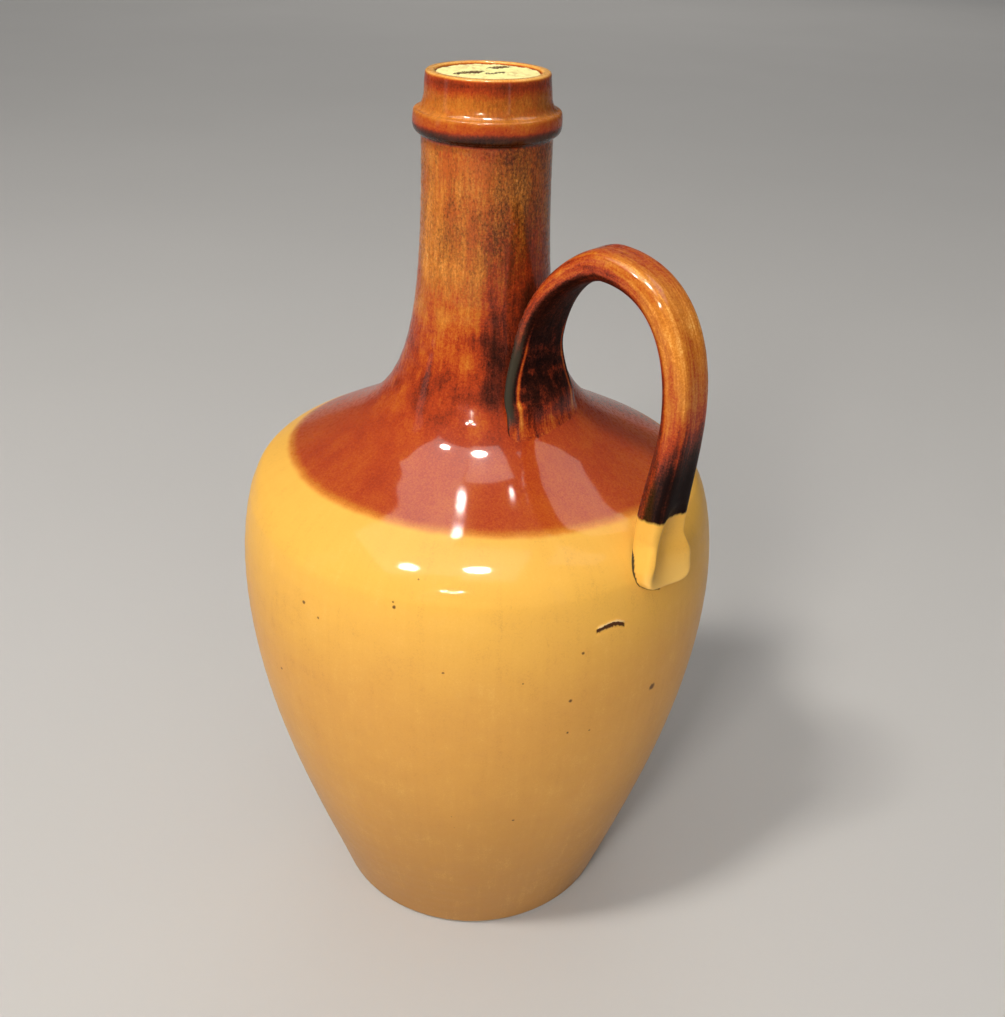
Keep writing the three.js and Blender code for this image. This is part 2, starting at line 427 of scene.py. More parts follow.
class Signal:
    """A shader value: arithmetic on it adds Math nodes to its sheet."""

    def __init__(self, sheet: "Sheet", socket: bpy.types.NodeSocket) -> None:
        """Wraps a socket of a sheet."""
        self.sheet = sheet
        self.socket = socket

    def _math(self, operation: str, *operands: Any) -> "Signal":
        """Adds a Math node.

        Args:
            operation: The node's operation.
            operands: Values or signals, in order.

        Returns:
            The node's result.
        """
        node = self.sheet.node("ShaderNodeMath", {"operation": operation})
        for socket, value in zip(node.inputs, operands):
            self.sheet.feed(socket, value)
        return Signal(self.sheet, node.outputs[0])

    def __add__(self, other: Any) -> "Signal":
        """Returns the sum."""
        return self._math("ADD", self, other)

    def __radd__(self, other: Any) -> "Signal":
        """Returns the sum."""
        return self._math("ADD", other, self)

    def __sub__(self, other: Any) -> "Signal":
        """Returns the difference."""
        return self._math("SUBTRACT", self, other)

    def __rsub__(self, other: Any) -> "Signal":
        """Returns the difference from a number."""
        return self._math("SUBTRACT", other, self)

    def __mul__(self, other: Any) -> "Signal":
        """Returns the product."""
        return self._math("MULTIPLY", self, other)

    def __rmul__(self, other: Any) -> "Signal":
        """Returns the product."""
        return self._math("MULTIPLY", other, self)

    def __truediv__(self, other: Any) -> "Signal":
        """Returns the quotient."""
        return self._math("DIVIDE", self, other)

    def root(self) -> "Signal":
        """Returns the square root."""
        return self._math("SQRT", self)

    def least(self, other: Any) -> "Signal":
        """Returns the smaller of the two values."""
        return self._math("MINIMUM", self, other)

    def most(self, other: Any) -> "Signal":
        """Returns the larger of the two values."""
        return self._math("MAXIMUM", self, other)

    def rise(self, low: float, high: float) -> "Signal":
        """Eases the value between two limits.

        Args:
            low: Where the rise starts.
            high: Where it ends.

        Returns:
            How far the value has risen, from 0 to 1.
        """
        node = self.sheet.node(
            "ShaderNodeMapRange",
            {"interpolation_type": "SMOOTHSTEP"},
            {"Value": self, "From Min": low, "From Max": high},
        )
        return Signal(self.sheet, node.outputs[0])

    def fall(self, low: float, high: float) -> "Signal":
        """Returns how far the value still is from high, eased: 1 below low and 0 above high."""
        return 1 - self.rise(low, high)


class Sheet:
    """The node sheet of a material or of the world, with short ways to add its nodes."""

    def __init__(self, owner: bpy.types.Material | bpy.types.World) -> None:
        """Starts an empty sheet.

        Args:
            owner: The material or world that the sheet belongs to.
        """
        self.owner = owner
        owner.use_nodes = True
        self.tree = owner.node_tree
        self.tree.nodes.clear()

    @classmethod
    def material(cls, name: str) -> "Sheet":
        """Returns the sheet of a new material."""
        return cls(bpy.data.materials.new(name))

    def node(
        self,
        kind: str,
        settings: Mapping[str, Any] | None = None,
        sockets: Mapping[str, Any] | None = None,
    ) -> bpy.types.Node:
        """Adds a node.

        Args:
            kind: Type of the node.
            settings: Properties, set first. A ramp's "stops" are pairs of a position and a colour.
            sockets: Values or signals of the inputs, by name.

        Returns:
            The node.
        """
        node = self.tree.nodes.new(kind)
        for name, value in (settings or {}).items():
            if name == "stops":
                self._set_stops(node.color_ramp, value)
            else:
                setattr(node, name, value)
        for name, value in (sockets or {}).items():
            self.feed(next(s for s in node.inputs if s.enabled and s.name == name), value)
        return node

    @staticmethod
    def _set_stops(ramp: bpy.types.ColorRamp, stops: Sequence[tuple[float, Colour]]) -> None:
        """Gives a ramp its stops.

        Args:
            ramp: The ramp.
            stops: Pairs of a position and a colour.
        """
        while len(ramp.elements) < len(stops):
            ramp.elements.new(1.0)
        for element, (position, colour) in zip(ramp.elements, stops):
            element.position = position
            element.color = (*colour, 1)

    def feed(self, socket: bpy.types.NodeSocket, value: Any) -> None:
        """Links a signal to a socket, or sets the socket to a value.

        Args:
            socket: The input.
            value: A signal, or a number, vector or colour.
        """
        if isinstance(value, Signal):
            self.tree.links.new(value.socket, socket)
        elif socket.type == "RGBA":
            socket.default_value = (*value, 1)
        else:
            socket.default_value = value

    def place(self) -> Signal:
        """Reads the object's own coordinates.

        Returns:
            The coordinates in millimetres.
        """
        coordinates = self.node("ShaderNodeTexCoord").outputs["Object"]
        scaled = self.node(
            "ShaderNodeVectorMath",
            {"operation": "SCALE"},
            {"Vector": Signal(self, coordinates), "Scale": 1 / MILLIMETRE},
        )
        return Signal(self, scaled.outputs[0])

    def split(self, vector: Signal) -> tuple[Signal, Signal, Signal]:
        """Returns the three parts of a vector."""
        node = self.node("ShaderNodeSeparateXYZ", sockets={"Vector": vector})
        return tuple(Signal(self, output) for output in node.outputs)

    def join(self, x: Any, y: Any, z: Any) -> Signal:
        """Returns a vector made of three values."""
        node = self.node("ShaderNodeCombineXYZ", sockets={"X": x, "Y": y, "Z": z})
        return Signal(self, node.outputs[0])

    def attribute(self, name: str) -> Signal:
        """Returns a number stored on the mesh's points."""
        return Signal(self, self.node("ShaderNodeAttribute", {"attribute_name": name}).outputs["Fac"])

    def arrow(self, name: str) -> Signal:
        """Returns a vector stored on the mesh's points."""
        return Signal(self, self.node("ShaderNodeAttribute", {"attribute_name": name}).outputs["Vector"])

    def noise(self, vector: Signal, cloud: Cloud) -> Signal:
        """Adds a cloudy pattern.

        Args:
            vector: Where it is read, in millimetres.
            cloud: The pattern.

        Returns:
            A value about 0, mostly from -0.5 to 0.5.
        """
        sockets = {
            "Vector": vector,
            "Scale": cloud.scale,
            "Detail": cloud.detail,
            "Roughness": cloud.roughness,
        }
        return (Signal(self, self.node("ShaderNodeTexNoise", sockets=sockets).outputs[0]) - 0.5) * 2

    def shifted(self, vector: Signal, shift: Signal) -> Signal:
        """Adds two vectors.

        Args:
            vector: The vector.
            shift: What is added to it.

        Returns:
            The sum.
        """
        node = self.node("ShaderNodeVectorMath", {"operation": "ADD"})
        self.feed(node.inputs[0], vector)
        self.feed(node.inputs[1], shift)
        return Signal(self, node.outputs[0])

    def distance(self, vector: Signal, centre: Vector) -> Signal:
        """Measures how far a vector is from a fixed point.

        Args:
            vector: The vector.
            centre: The fixed point.

        Returns:
            The distance.
        """
        node = self.node("ShaderNodeVectorMath", {"operation": "DISTANCE"})
        self.feed(node.inputs[0], vector)
        self.feed(node.inputs[1], centre)
        return Signal(self, node.outputs["Value"])

    def ramp(self, value: Signal, stops: Sequence[tuple[float, Colour]]) -> Signal:
        """Returns the colour of a ramp at a value from 0 to 1."""
        return Signal(self, self.node("ShaderNodeValToRGB", {"stops": stops}, {"Fac": value}).outputs[0])

    def level(self, value: Signal, levels: Levels) -> Signal:
        """Follows a list of levels.

        Args:
            value: Where the list is read.
            levels: Pairs of a position and the number there, from the lowest position up.

        Returns:
            The number at the value.
        """
        first, last = levels[0][0], levels[-1][0]
        stops = [((place - first) / (last - first), (number,) * 3) for place, number in levels]
        colour = self.ramp((value - first) / (last - first), stops)
        return Signal(self, self.node("ShaderNodeRGBToBW", sockets={"Color": colour}).outputs[0])

    def mix(self, first: Any, second: Any, share: Any) -> Signal:
        """Mixes two colours.

        Args:
            first: The first colour.
            second: The second colour.
            share: The second one's share.

        Returns:
            The mixed colour.
        """
        sockets = {"Factor": share, "A": first, "B": second}
        node = self.node("ShaderNodeMix", {"data_type": "RGBA"}, sockets)
        return Signal(self, next(output for output in node.outputs if output.enabled))

    def bump(self, height: Signal) -> Signal:
        """Returns the normal of a surface raised by a height in millimetres."""
        node = self.node("ShaderNodeBump", sockets={"Distance": MILLIMETRE, "Height": height})
        return Signal(self, node.outputs[0])

    def finish(self, sockets: Mapping[str, Any]) -> bpy.types.Material:
        """Adds the surface shader and the output.

        Args:
            sockets: Values or signals of the surface shader.

        Returns:
            The material.
        """
        shader = self.node("ShaderNodeBsdfPrincipled", sockets=sockets)
        self.node("ShaderNodeOutputMaterial", sockets={"Surface": Signal(self, shader.outputs[0])})
        return self.owner


@dataclass(frozen=True)
class Speck:
    """An iron speck in the ochre glaze."""

    azimuth: float
    height: float
    radius: float


@dataclass(frozen=True)
class Glaze:
    """The two glazes of the jug: clear ochre below, and a brown dip above a slightly tilted line."""

    dip_height: float = 140.4
    dip_tilt: float = 0.063
    dip_azimuth: float = 23.0
    dip_ripple: float = 0.5
    dip_wave: Cloud = Cloud(0.05)
    dip_jag: Cloud = Cloud(0.3)
    dip_blur: float = 0.5
    halo_width: float = 1.7
    halo: float = 0.28
    brown_relief: float = 0.05
    # Darker ochre at the foot: partly its own tan tone, partly painted shade near the floor
    ochre_foot: Colour = (0.46, 0.225, 0.062)
    ochre_belly: Colour = (0.71, 0.355, 0.08)
    ochre_shoulder: Colour = (0.84, 0.46, 0.08)
    ochre_shade: Colour = (0.5, 0.22, 0.055)
    # Pale ochre of the uneven tone, also used as painted light in the strap's thumb scoop
    ochre_glow: Colour = (0.95, 0.58, 0.15)
    clay: Colour = (0.5, 0.36, 0.22)
    # Dark iron of the specks and dust, also used as painted shade in the crevice under the handle and in
    # the kiln flaw's pit
    iron: Colour = (0.1, 0.04, 0.016)
    inner: Colour = (0.2, 0.085, 0.03)
    # Dark colour of the strap's crevices and of its flank on the neck: painted shade, with some dirt
    pooled: Colour = (0.04, 0.034, 0.022)
    # Umber of the smoky streaks, also used as painted shade on the neck's side towards the handle
    umber: Colour = (0.075, 0.022, 0.006)
    thickness_colours: tuple[tuple[float, Colour], ...] = (
        (0.0, (0.009, 0.0025, 0.002)),
        (0.15, (0.035, 0.008, 0.004)),
        (0.3, (0.14, 0.02, 0.008)),
        (0.45, (0.39, 0.045, 0.01)),
        (0.55, (0.49, 0.1, 0.013)),
        (0.66, (0.55, 0.17, 0.02)),
        (0.8, (0.71, 0.25, 0.033)),
        (1.0, (0.93, 0.56, 0.15)),
    )
    belly_tone: Span = (0.0, 95.0)
    shoulder_tone: Span = (95.0, 138.0)
    belly_waver: float = 14.0
    shoulder_waver: float = 9.0
    ochre_cloud: Cloud = Cloud(0.03, detail=3)
    ochre_mottle: Cloud = Cloud(0.13, detail=4, roughness=0.65)
    ochre_streak: Streak = Streak(0.55, detail=3, stretch=0.08)
    grain: Cloud = Cloud(2.0, detail=3, roughness=0.75)
    dust: Cloud = Cloud(2.6, detail=3, roughness=0.7)
    dust_from: Span = (0.25, 0.7)
    gloss: float = 0.5
    ochre_gloss: float = 0.2
    coat_roughness: float = 0.07
    specular_level: float = 0.02
    roughness: float = 0.36
    haze: Cloud = Cloud(0.9, detail=3)
    peel: Cloud = Cloud(0.5, detail=3)
    peel_height: float = 0.012
    sag: Cloud = Cloud(0.16)
    sag_height: float = 0.025
    grit: Cloud = Cloud(2.2, detail=4, roughness=0.7)
    grit_height: float = 0.004
    bare_grit_height: float = 0.05
    scatter: float = 0.13
    scatter_bare: float = 0.66
    scatter_size: float = 0.11
    scatter_blur: float = 0.012
    speck_ragged: Cloud = Cloud(1.1)
    speck_core: float = 0.5
    speck_edge: float = 1.2
    specks: tuple[Speck, ...] = (
        Speck(3.0, 123.1, 0.55),
        Speck(7.6, 121.0, 0.4),
        Speck(26.2, 130.2, 0.5),
        Speck(25.9, 131.4, 0.32),
        Speck(-7.0, 96.5, 0.42),
        Speck(67.2, 117.7, 0.45),
        Speck(88.4, 97.2, 1.15),
        Speck(64.8, 104.2, 0.55),
        Speck(37.3, 114.9, 0.35),
        Speck(64.9, 93.4, 0.4),
        Speck(54.5, 60.6, 0.42),
    )
    # Crevice under the handle's pressed end, darkened as painted shade with some dirt
    crevice: tuple[Span, Span] = ((82.0, 130.6), (89.2, 126.6))
    crevice_width: float = 0.8
    crevice_ragged: Cloud = Cloud(0.9)

    def above_dip(self, sheet: Sheet, place: Signal, lift: float = 0.0) -> Signal:
        """Measures from the wavy dip line.

        Args:
            sheet: The material's sheet.
            place: The object's coordinates.
            lift: How much higher the line lies than on the wall.

        Returns:
            The height above the line.
        """
        x, y, z = sheet.split(place)
        towards = facing(self.dip_azimuth) * self.dip_tilt
        line = x * towards.x + y * towards.y + (self.dip_height + lift)
        ripple = sheet.noise(place, self.dip_wave) + sheet.noise(place, self.dip_jag) * 0.4
        return z - line - ripple * self.dip_ripple

    def flow(self, sheet: Sheet, place: Signal, radius: float, streak: Streak) -> Signal:
        """Draws a pattern out down the wall.

        Args:
            sheet: The material's sheet.
            place: The object's coordinates.
            radius: Radius at which the streaks have their true width.
            streak: The pattern.

        Returns:
            The pattern's value, about 0.
        """
        x, y, z = sheet.split(place)
        reach = (x * x + y * y).root().most(1.0) / radius
        return sheet.noise(sheet.join(x / reach, y / reach, z * streak.stretch), streak)

    def brown(self, sheet: Sheet, thin: Signal) -> Signal:
        """Colours the brown glaze.

        Args:
            sheet: The material's sheet.
            thin: Thinness from 0 to 1.

        Returns:
            The colour, from black where it pools to orange where it is thin.
        """
        return sheet.ramp(thin, self.thickness_colours)

    def ochre(self, sheet: Sheet, place: Signal, wall: ThrownWall) -> Signal:
        """Colours the ochre glaze with its clouds, streaks, iron dust and specks, darker towards the foot
        partly as painted shade, with painted shade in the crevice under the handle's pressed end.

        Args:
            sheet: The material's sheet.
            place: The object's coordinates.
            wall: The wall that carries the specks.

        Returns:
            The colour.
        """
        _, _, z = sheet.split(place)
        cloud = sheet.noise(place, self.ochre_cloud)
        mottle = sheet.noise(place, self.ochre_mottle)
        streak = self.flow(sheet, place, wall.belly_radius, self.ochre_streak)
        grain = sheet.noise(place, self.grain)
        on_belly = (z + cloud * self.belly_waver).rise(*self.belly_tone)
        on_shoulder = (z + cloud * self.shoulder_waver).rise(*self.shoulder_tone)
        colour = sheet.mix(self.ochre_foot, self.ochre_belly, on_belly)
        colour = sheet.mix(colour, self.ochre_shoulder, on_shoulder)
        uneven = mottle * 0.4 + streak * 0.22 + grain * 0.5
        colour = sheet.mix(colour, self.ochre_shade, uneven.rise(0, 0.7) * 0.7)
        colour = sheet.mix(colour, self.ochre_glow, uneven.fall(-0.7, 0) * 0.5)
        dust = sheet.noise(place, self.dust).rise(*self.dust_from)
        colour = sheet.mix(colour, self.iron, dust * 0.35)
        return sheet.mix(colour, self.iron, self.speckle(sheet, place, wall))

    def speckle(self, sheet: Sheet, place: Signal, wall: ThrownWall) -> Signal:
        """Places the iron specks: the large ones that are listed, and small scattered ones, and adds
        painted shade, with some dirt, in the crevice under the handle's pressed end.

        Args:
            sheet: The material's sheet.
            place: The object's coordinates.
            wall: The wall that carries the specks.

        Returns:
            How much iron shows, from 0 to 1.
        """
        cells = sheet.node("ShaderNodeTexVoronoi", sockets={"Vector": place, "Scale": self.scatter})
        size = sheet.split(Signal(sheet, cells.outputs["Color"]))[0]
        inside = (size - self.scatter_bare) * self.scatter_size - Signal(sheet, cells.outputs["Distance"])
        mask = inside.rise(-self.scatter_blur, self.scatter_blur) * 0.7
        cloud = sheet.noise(place, self.speck_ragged) * 0.4
        wander = sheet.shifted(place, sheet.join(cloud, cloud * -0.6, cloud * 0.8))
        for speck in self.specks:
            centre = wall.face_at(speck.azimuth, speck.height)
            core, edge = speck.radius * self.speck_core, speck.radius * self.speck_edge
            mask = mask.most(sheet.distance(wander, centre).fall(core, edge) * 0.9)
        # painted shade, with some dirt, in the crevice under the handle's pressed end
        return mask.most(self.wall_crevice_shade_and_dirt(sheet, place, wall))

    def wall_crevice_shade_and_dirt(self, sheet: Sheet, place: Signal, wall: ThrownWall) -> Signal:
        """Paints shade, with some dirt, along the lower edge of the handle's pressed end, where the
        crevice lies in shadow.

        Args:
            sheet: The material's sheet.
            place: The object's coordinates.
            wall: The wall that the dirt lies on.

        Returns:
            How much dirt shows, from 0 to 1.
        """
        start, end = (wall.face_at(*mark) for mark in self.crevice)
        run = end - start
        away = [part - origin for part, origin in zip(sheet.split(place), start)]
        along = away[0] * run.x + away[1] * run.y + away[2] * run.z
        share = (along / run.length_squared).most(0.0).least(1.0)
        x, y, z = (part - share * step for part, step in zip(away, run))
        taper = (1 - (share * (1 - share)).root() * 2) * self.crevice_width
        ragged = sheet.noise(place, self.crevice_ragged) * 0.35 + taper
        return ((x * x + y * y + z * z).root() + ragged).fall(self.crevice_width / 3, self.crevice_width)

    def surface(
        self,
        sheet: Sheet,
        place: Signal,
        colour: Signal,
        brown_share: Signal,
        dull: Signal,
    ) -> bpy.types.Material:
        """Finishes a glazed material.

        Args:
            sheet: The material's sheet.
            place: The object's coordinates.
            colour: Base colour.
            brown_share: 1 under the brown glaze.
            dull: 1 where there is no gloss.

        Returns:
            The material.
        """
        peel = sheet.noise(place, self.peel) * self.peel_height
        sag = sheet.noise(place, self.sag) * self.sag_height
        grit = sheet.noise(place, self.grit) * (dull * self.bare_grit_height + self.grit_height)
        rough = self.roughness - brown_share * 0.08 + sheet.noise(place, self.haze) * 0.08 + dull * 0.3
        gloss = self.ochre_gloss + brown_share * (self.gloss - self.ochre_gloss)
        return sheet.finish(
            {
                "Base Color": colour,
                "Roughness": rough,
                "Specular IOR Level": self.specular_level,
                "Coat Weight": (1 - dull) * gloss,
                "Coat Roughness": self.coat_roughness,
                "Normal": sheet.bump(peel + sag + grit + brown_share * self.brown_relief),
            }
        )


@dataclass(frozen=True)
class WallGlaze(Glaze):
    """The glazes on the turned walls, which flow down the neck and turn dark under the collar."""

    flow_radius: float = 16.0
    fine_streak: Streak = Streak(1.2, detail=4, roughness=0.7, stretch=0.13)
    broad_streak: Streak = Streak(0.22, stretch=0.12)
    drop_streak: Streak = Streak(1.5, detail=3, roughness=0.7, stretch=0.35)
    blotch: Cloud = Cloud(0.11, detail=4, roughness=0.6)
    smoke_level: float = 0.27
    smoke_streak: Streak = Streak(0.8, detail=4, roughness=0.7, stretch=0.15)
    smoke_drop: Streak = Streak(1.9, detail=3, roughness=0.75, stretch=0.6)
    smoke_cloud: Streak = Streak(0.12, stretch=0.4)
    neck_foot: Span = (152.0, 182.0)
    blotched_from: Span = (150.0, 165.0)
    blotched_to: Span = (182.0, 204.0)
    gold_from: Span = (172.0, 200.0)
    smoke_from: Span = (172.0, 205.0)
    below_collar: Span = (222.0, 226.0)
    collar_face: Span = (227.0, 229.0)
    collar_top: Span = (230.5, 232.5)
    rim_edge: Span = (239.0, 239.7)
    # Side of the neck towards the handle, darkened as painted shade
    lee_azimuth: float = 96.0
    lee_spread: Span = (0.38, 0.92)
    lee_from: Span = (160.0, 172.0)
    lee_to: Span = (190.0, 218.0)
    # Painted highlight on the kiln flaw's lip, and painted shade in its pit
    flaw_lip_highlight: Colour = (0.86, 0.6, 0.3)
    flaw_lip_highlight_from: Span = (0.25, 0.8)
    flaw_pit_shade_to: Span = (-0.6, -0.2)
    bare_edge: Span = (0.5, 1.1)
    bare_ragged: Cloud = Cloud(0.35, detail=3)
    thin_levels: Levels = (
        (136.0, 0.52),
        (146.0, 0.48),
        (156.0, 0.46),
        (166.0, 0.44),
        (176.0, 0.5),
        (186.0, 0.58),
        (200.0, 0.68),
        (212.0, 0.67),
        (225.3, 0.56),
        (226.0, 0.0),
        (226.8, 0.08),
        (227.7, 0.17),
        (228.4, 0.34),
        (229.0, 0.51),
        (230.3, 0.55),
        (230.9, 0.6),
        (231.5, 0.74),
        (232.4, 0.62),
        (235.5, 0.62),
        (238.4, 0.4),
        (239.35, 0.5),
        (239.75, 0.92),
    )

    def material(self, wall: ThrownWall) -> bpy.types.Material:
        """Makes the material of both turned sections.

        Args:
            wall: The wall that carries the glaze.

        Returns:
            The material.
        """
        sheet = Sheet.material("stoneware_glaze")
        place = sheet.place()
        above = self.above_dip(sheet, place)
        brown_share = above.rise(-self.dip_blur, self.dip_blur)
        brown = self.brown(sheet, self.thinness(sheet, place, above))
        brown = sheet.mix(brown, self.umber, self.smoke(sheet, place))
        colour = sheet.mix(self.ochre(sheet, place, wall), brown, brown_share)
        flaw = sheet.attribute("flaw")
        # painted highlight on the flaw's lip, then painted shade in its pit
        colour = sheet.mix(colour, self.flaw_lip_highlight, flaw.rise(*self.flaw_lip_highlight_from) * 0.8)
        colour = sheet.mix(colour, self.iron, flaw.fall(*self.flaw_pit_shade_to))
        _, _, z = sheet.split(place)
        bare = (z + sheet.noise(place, self.bare_ragged) * 0.5).fall(*self.bare_edge)
        colour = sheet.mix(colour, self.clay, bare)
        colour = sheet.mix(colour, self.inner, sheet.attribute("inside").rise(0.5, 0.9))
        return self.surface(sheet, place, colour, brown_share, bare)

    def smoke(self, sheet: Sheet, place: Signal) -> Signal:
        """Gathers umber in streaks and specks on the neck and the lip, with painted shade on the side of
        the neck that faces the handle.

        Args:
            sheet: The material's sheet.
            place: The object's coordinates.

        Returns:
            How much umber shows, from 0 to 1.
        """
        _, _, z = sheet.split(place)
        streaks = self.flow(sheet, place, self.flow_radius, self.smoke_streak)
        drops = self.flow(sheet, place, self.flow_radius, self.smoke_drop)
        cloud = self.flow(sheet, place, self.flow_radius, self.smoke_cloud)
        painted_shade_side = self.painted_shade_side(sheet, place)
        smoke = self.smoke_level + streaks * 0.5 + drops * 0.95 + cloud * 0.3 + painted_shade_side * 0.3
        cleared = z.rise(*self.collar_face) * (0.45 + z.fall(*self.collar_top) * 0.4)
        return smoke.rise(0, 1) * z.rise(*self.smoke_from) * (1 - cleared) * z.fall(*self.rim_edge)

    def painted_shade_side(self, sheet: Sheet, place: Signal) -> Signal:
        """Finds the side of the neck that faces the handle, away from the light, where painted shade
        darkens the glaze.

        Args:
            sheet: The material's sheet.
            place: The object's coordinates.

        Returns:
            1 on that side and 0 on the others.
        """
        x, y, _ = sheet.split(place)
        towards = facing(self.lee_azimuth)
        radius = (x * x + y * y).root().most(1.0)
        return ((x * towards.x + y * towards.y) / radius).rise(*self.lee_spread)

    def thinness(self, sheet: Sheet, place: Signal, above: Signal) -> Signal:
        """Works out how thin the brown glaze lies, with its streaks, mottle and speckle, less painted
        shade on the side of the neck that faces the handle.

        Args:
            sheet: The material's sheet.
            place: The object's coordinates.
            above: Height above the dip line.

        Returns:
            The thinness, mostly from 0 to 1.
        """
        _, _, z = sheet.split(place)
        fine = self.flow(sheet, place, self.flow_radius, self.fine_streak)
        broad = self.flow(sheet, place, self.flow_radius, self.broad_streak)
        drops = self.flow(sheet, place, self.flow_radius, self.drop_streak)
        blotch = sheet.noise(place, self.blotch)
        grain = sheet.noise(place, self.grain)
        on_neck = z.rise(*self.neck_foot)
        on_run = on_neck * z.fall(*self.below_collar)
        blotched = z.rise(*self.blotched_from) * z.fall(*self.blotched_to)
        in_painted_shade_side = self.painted_shade_side(sheet, place) * z.rise(*self.lee_from) * z.fall(*self.lee_to)
        thin = sheet.level(z, self.thin_levels)
        thin = thin + fine * (on_run * 0.2 + 0.03) + broad * (on_run * 0.24 + 0.06)
        thin = thin + blotch * (blotched * 0.16 + on_neck * 0.12 + 0.08)
        thin = thin + grain * (on_run * 0.1 + 0.17) - drops.rise(0.1, 0.6) * on_neck * 0.14
        thin = thin.most(z.rise(*self.gold_from) * z.fall(*self.below_collar) * 0.56)
        return thin - in_painted_shade_side * 0.3 + above.fall(0, self.halo_width) * self.halo


@dataclass(frozen=True)
class StrapGlaze(Glaze):
    """The glazes on the strap handle, painted orange along its edges as a highlight, which pool above the
    dip line.
    """

    dip_lift: float = 4.9
    dip_streak: Streak = Streak(0.7, roughness=0.6, stretch=0.1)
    line_streak: Streak = Streak(0.9, detail=4, roughness=0.7, stretch=0.06)
    band_streak: Streak = Streak(0.3, stretch=0.12)
    blotch: Cloud = Cloud(0.3, detail=3, roughness=0.6)
    crown_scale: float = 3.0
    scoop_light_to: Span = (129.0, 137.0)
    scoop_light_face: Span = (0.1, 0.6)
    pool_to: Span = (9.0, 34.0)
    pool_face: Span = (0.0, 0.75)
    side_pool_to: Span = (6.0, 26.0)
    side_pool_face: Span = (-0.5, 0.3)
    shade_face: Span = (0.3, 1.0)
    shade_edge: Span = (2.0, 6.0)
    spared_from: Span = (-0.1, 0.6)
    spared_to: Span = (18.0, 40.0)
    thin_levels: Levels = (
        (0.0, 0.44),
        (8.0, 0.4),
        (18.0, 0.36),
        (34.0, 0.4),
        (52.0, 0.45),
        (68.0, 0.58),
        (82.0, 0.72),
        (98.0, 0.58),
        (110.0, 0.45),
        (122.0, 0.34),
        (150.0, 0.3),
    )

    def material(self, wall: ThrownWall) -> bpy.types.Material:
        """Makes the material of the strap handle.

        Args:
            wall: The wall that the strap stands on.

        Returns:
            The material.
        """
        sheet = Sheet.material("strap_glaze")
        place = sheet.place()
        _, _, crown = sheet.split(sheet.arrow("strap"))
        above = self.above_dip(sheet, place, self.dip_lift) + self.drawn(sheet, self.dip_streak) * 0.8
        brown_share = above.rise(-self.dip_blur, self.dip_blur)
        loop = sheet.attribute("loop")
        brown = self.brown(sheet, self.thinness(sheet, place, above, loop))
        colour = sheet.mix(self.ochre(sheet, place, wall), brown, brown_share)
        _, _, z = sheet.split(place)
        # painted light on the lower half of the thumb scoop, which faces up to the lamps
        hollow = z.fall(*self.scoop_light_to) * crown.rise(*self.scoop_light_face) * (1 - brown_share)
        colour = sheet.mix(colour, self.ochre_glow, hollow)
        # painted shade, with some dirt, in the strap's crevices and behind its thin edges on the neck
        colour = sheet.mix(colour, self.pooled, sheet.attribute("crevice"))
        pooled = above.fall(*self.pool_to) * crown.rise(*self.pool_face) * brown_share
        return self.surface(sheet, place, colour, brown_share, (loop * 0.96).most(pooled * 0.9))

    def drawn(self, sheet: Sheet, streak: Streak) -> Signal:
        """Draws a pattern out along the strap.

        Args:
            sheet: The material's sheet.
            streak: The pattern.

        Returns:
            The pattern's value, about 0.
        """
        along, across, crown = sheet.split(sheet.arrow("strap"))
        return sheet.noise(sheet.join(across, along * streak.stretch, crown * self.crown_scale), streak)

    def thinness(self, sheet: Sheet, place: Signal, above: Signal, loop: Signal) -> Signal:
        """Works out how thin the brown glaze lies along the strap, less painted shade on the loop side and
        on the +Y side of the outer face.

        Args:
            sheet: The material's sheet.
            place: The object's coordinates.
            above: Height above the dip line.
            loop: 1 on the face towards the finger loop.

        Returns:
            The thinness, mostly from 0 to 1.
        """
        along, across, crown = sheet.split(sheet.arrow("strap"))
        lines = self.drawn(sheet, self.line_streak)
        bands = self.drawn(sheet, self.band_streak)
        blotch = sheet.noise(place, self.blotch)
        grain = sheet.noise(place, self.grain)
        pool = above.fall(*self.pool_to) * crown.rise(*self.pool_face) * 0.42
        pool = pool.most(above.fall(*self.side_pool_to) * crown.rise(*self.side_pool_face) * 0.4)
        shade = crown.rise(*self.shade_face) * across.rise(*self.shade_edge) * 0.08
        # the edge mark adds a painted highlight along the strap's outer edges and its thin edge on the
        # neck
        thin = sheet.level(along, self.thin_levels) + sheet.attribute("edge_highlight") * 0.13
        thin = thin + (lines * 0.4 + bands * 0.2) * (1 - loop * 0.6) + grain * 0.3 + blotch * 0.14
        spared = blotch.rise(*self.spared_from) * along.fall(*self.spared_to) * 0.26
        # the loop side is darkened as painted shade as well as by its thicker glaze
        return thin - loop * (0.3 - spared) - pool - shade


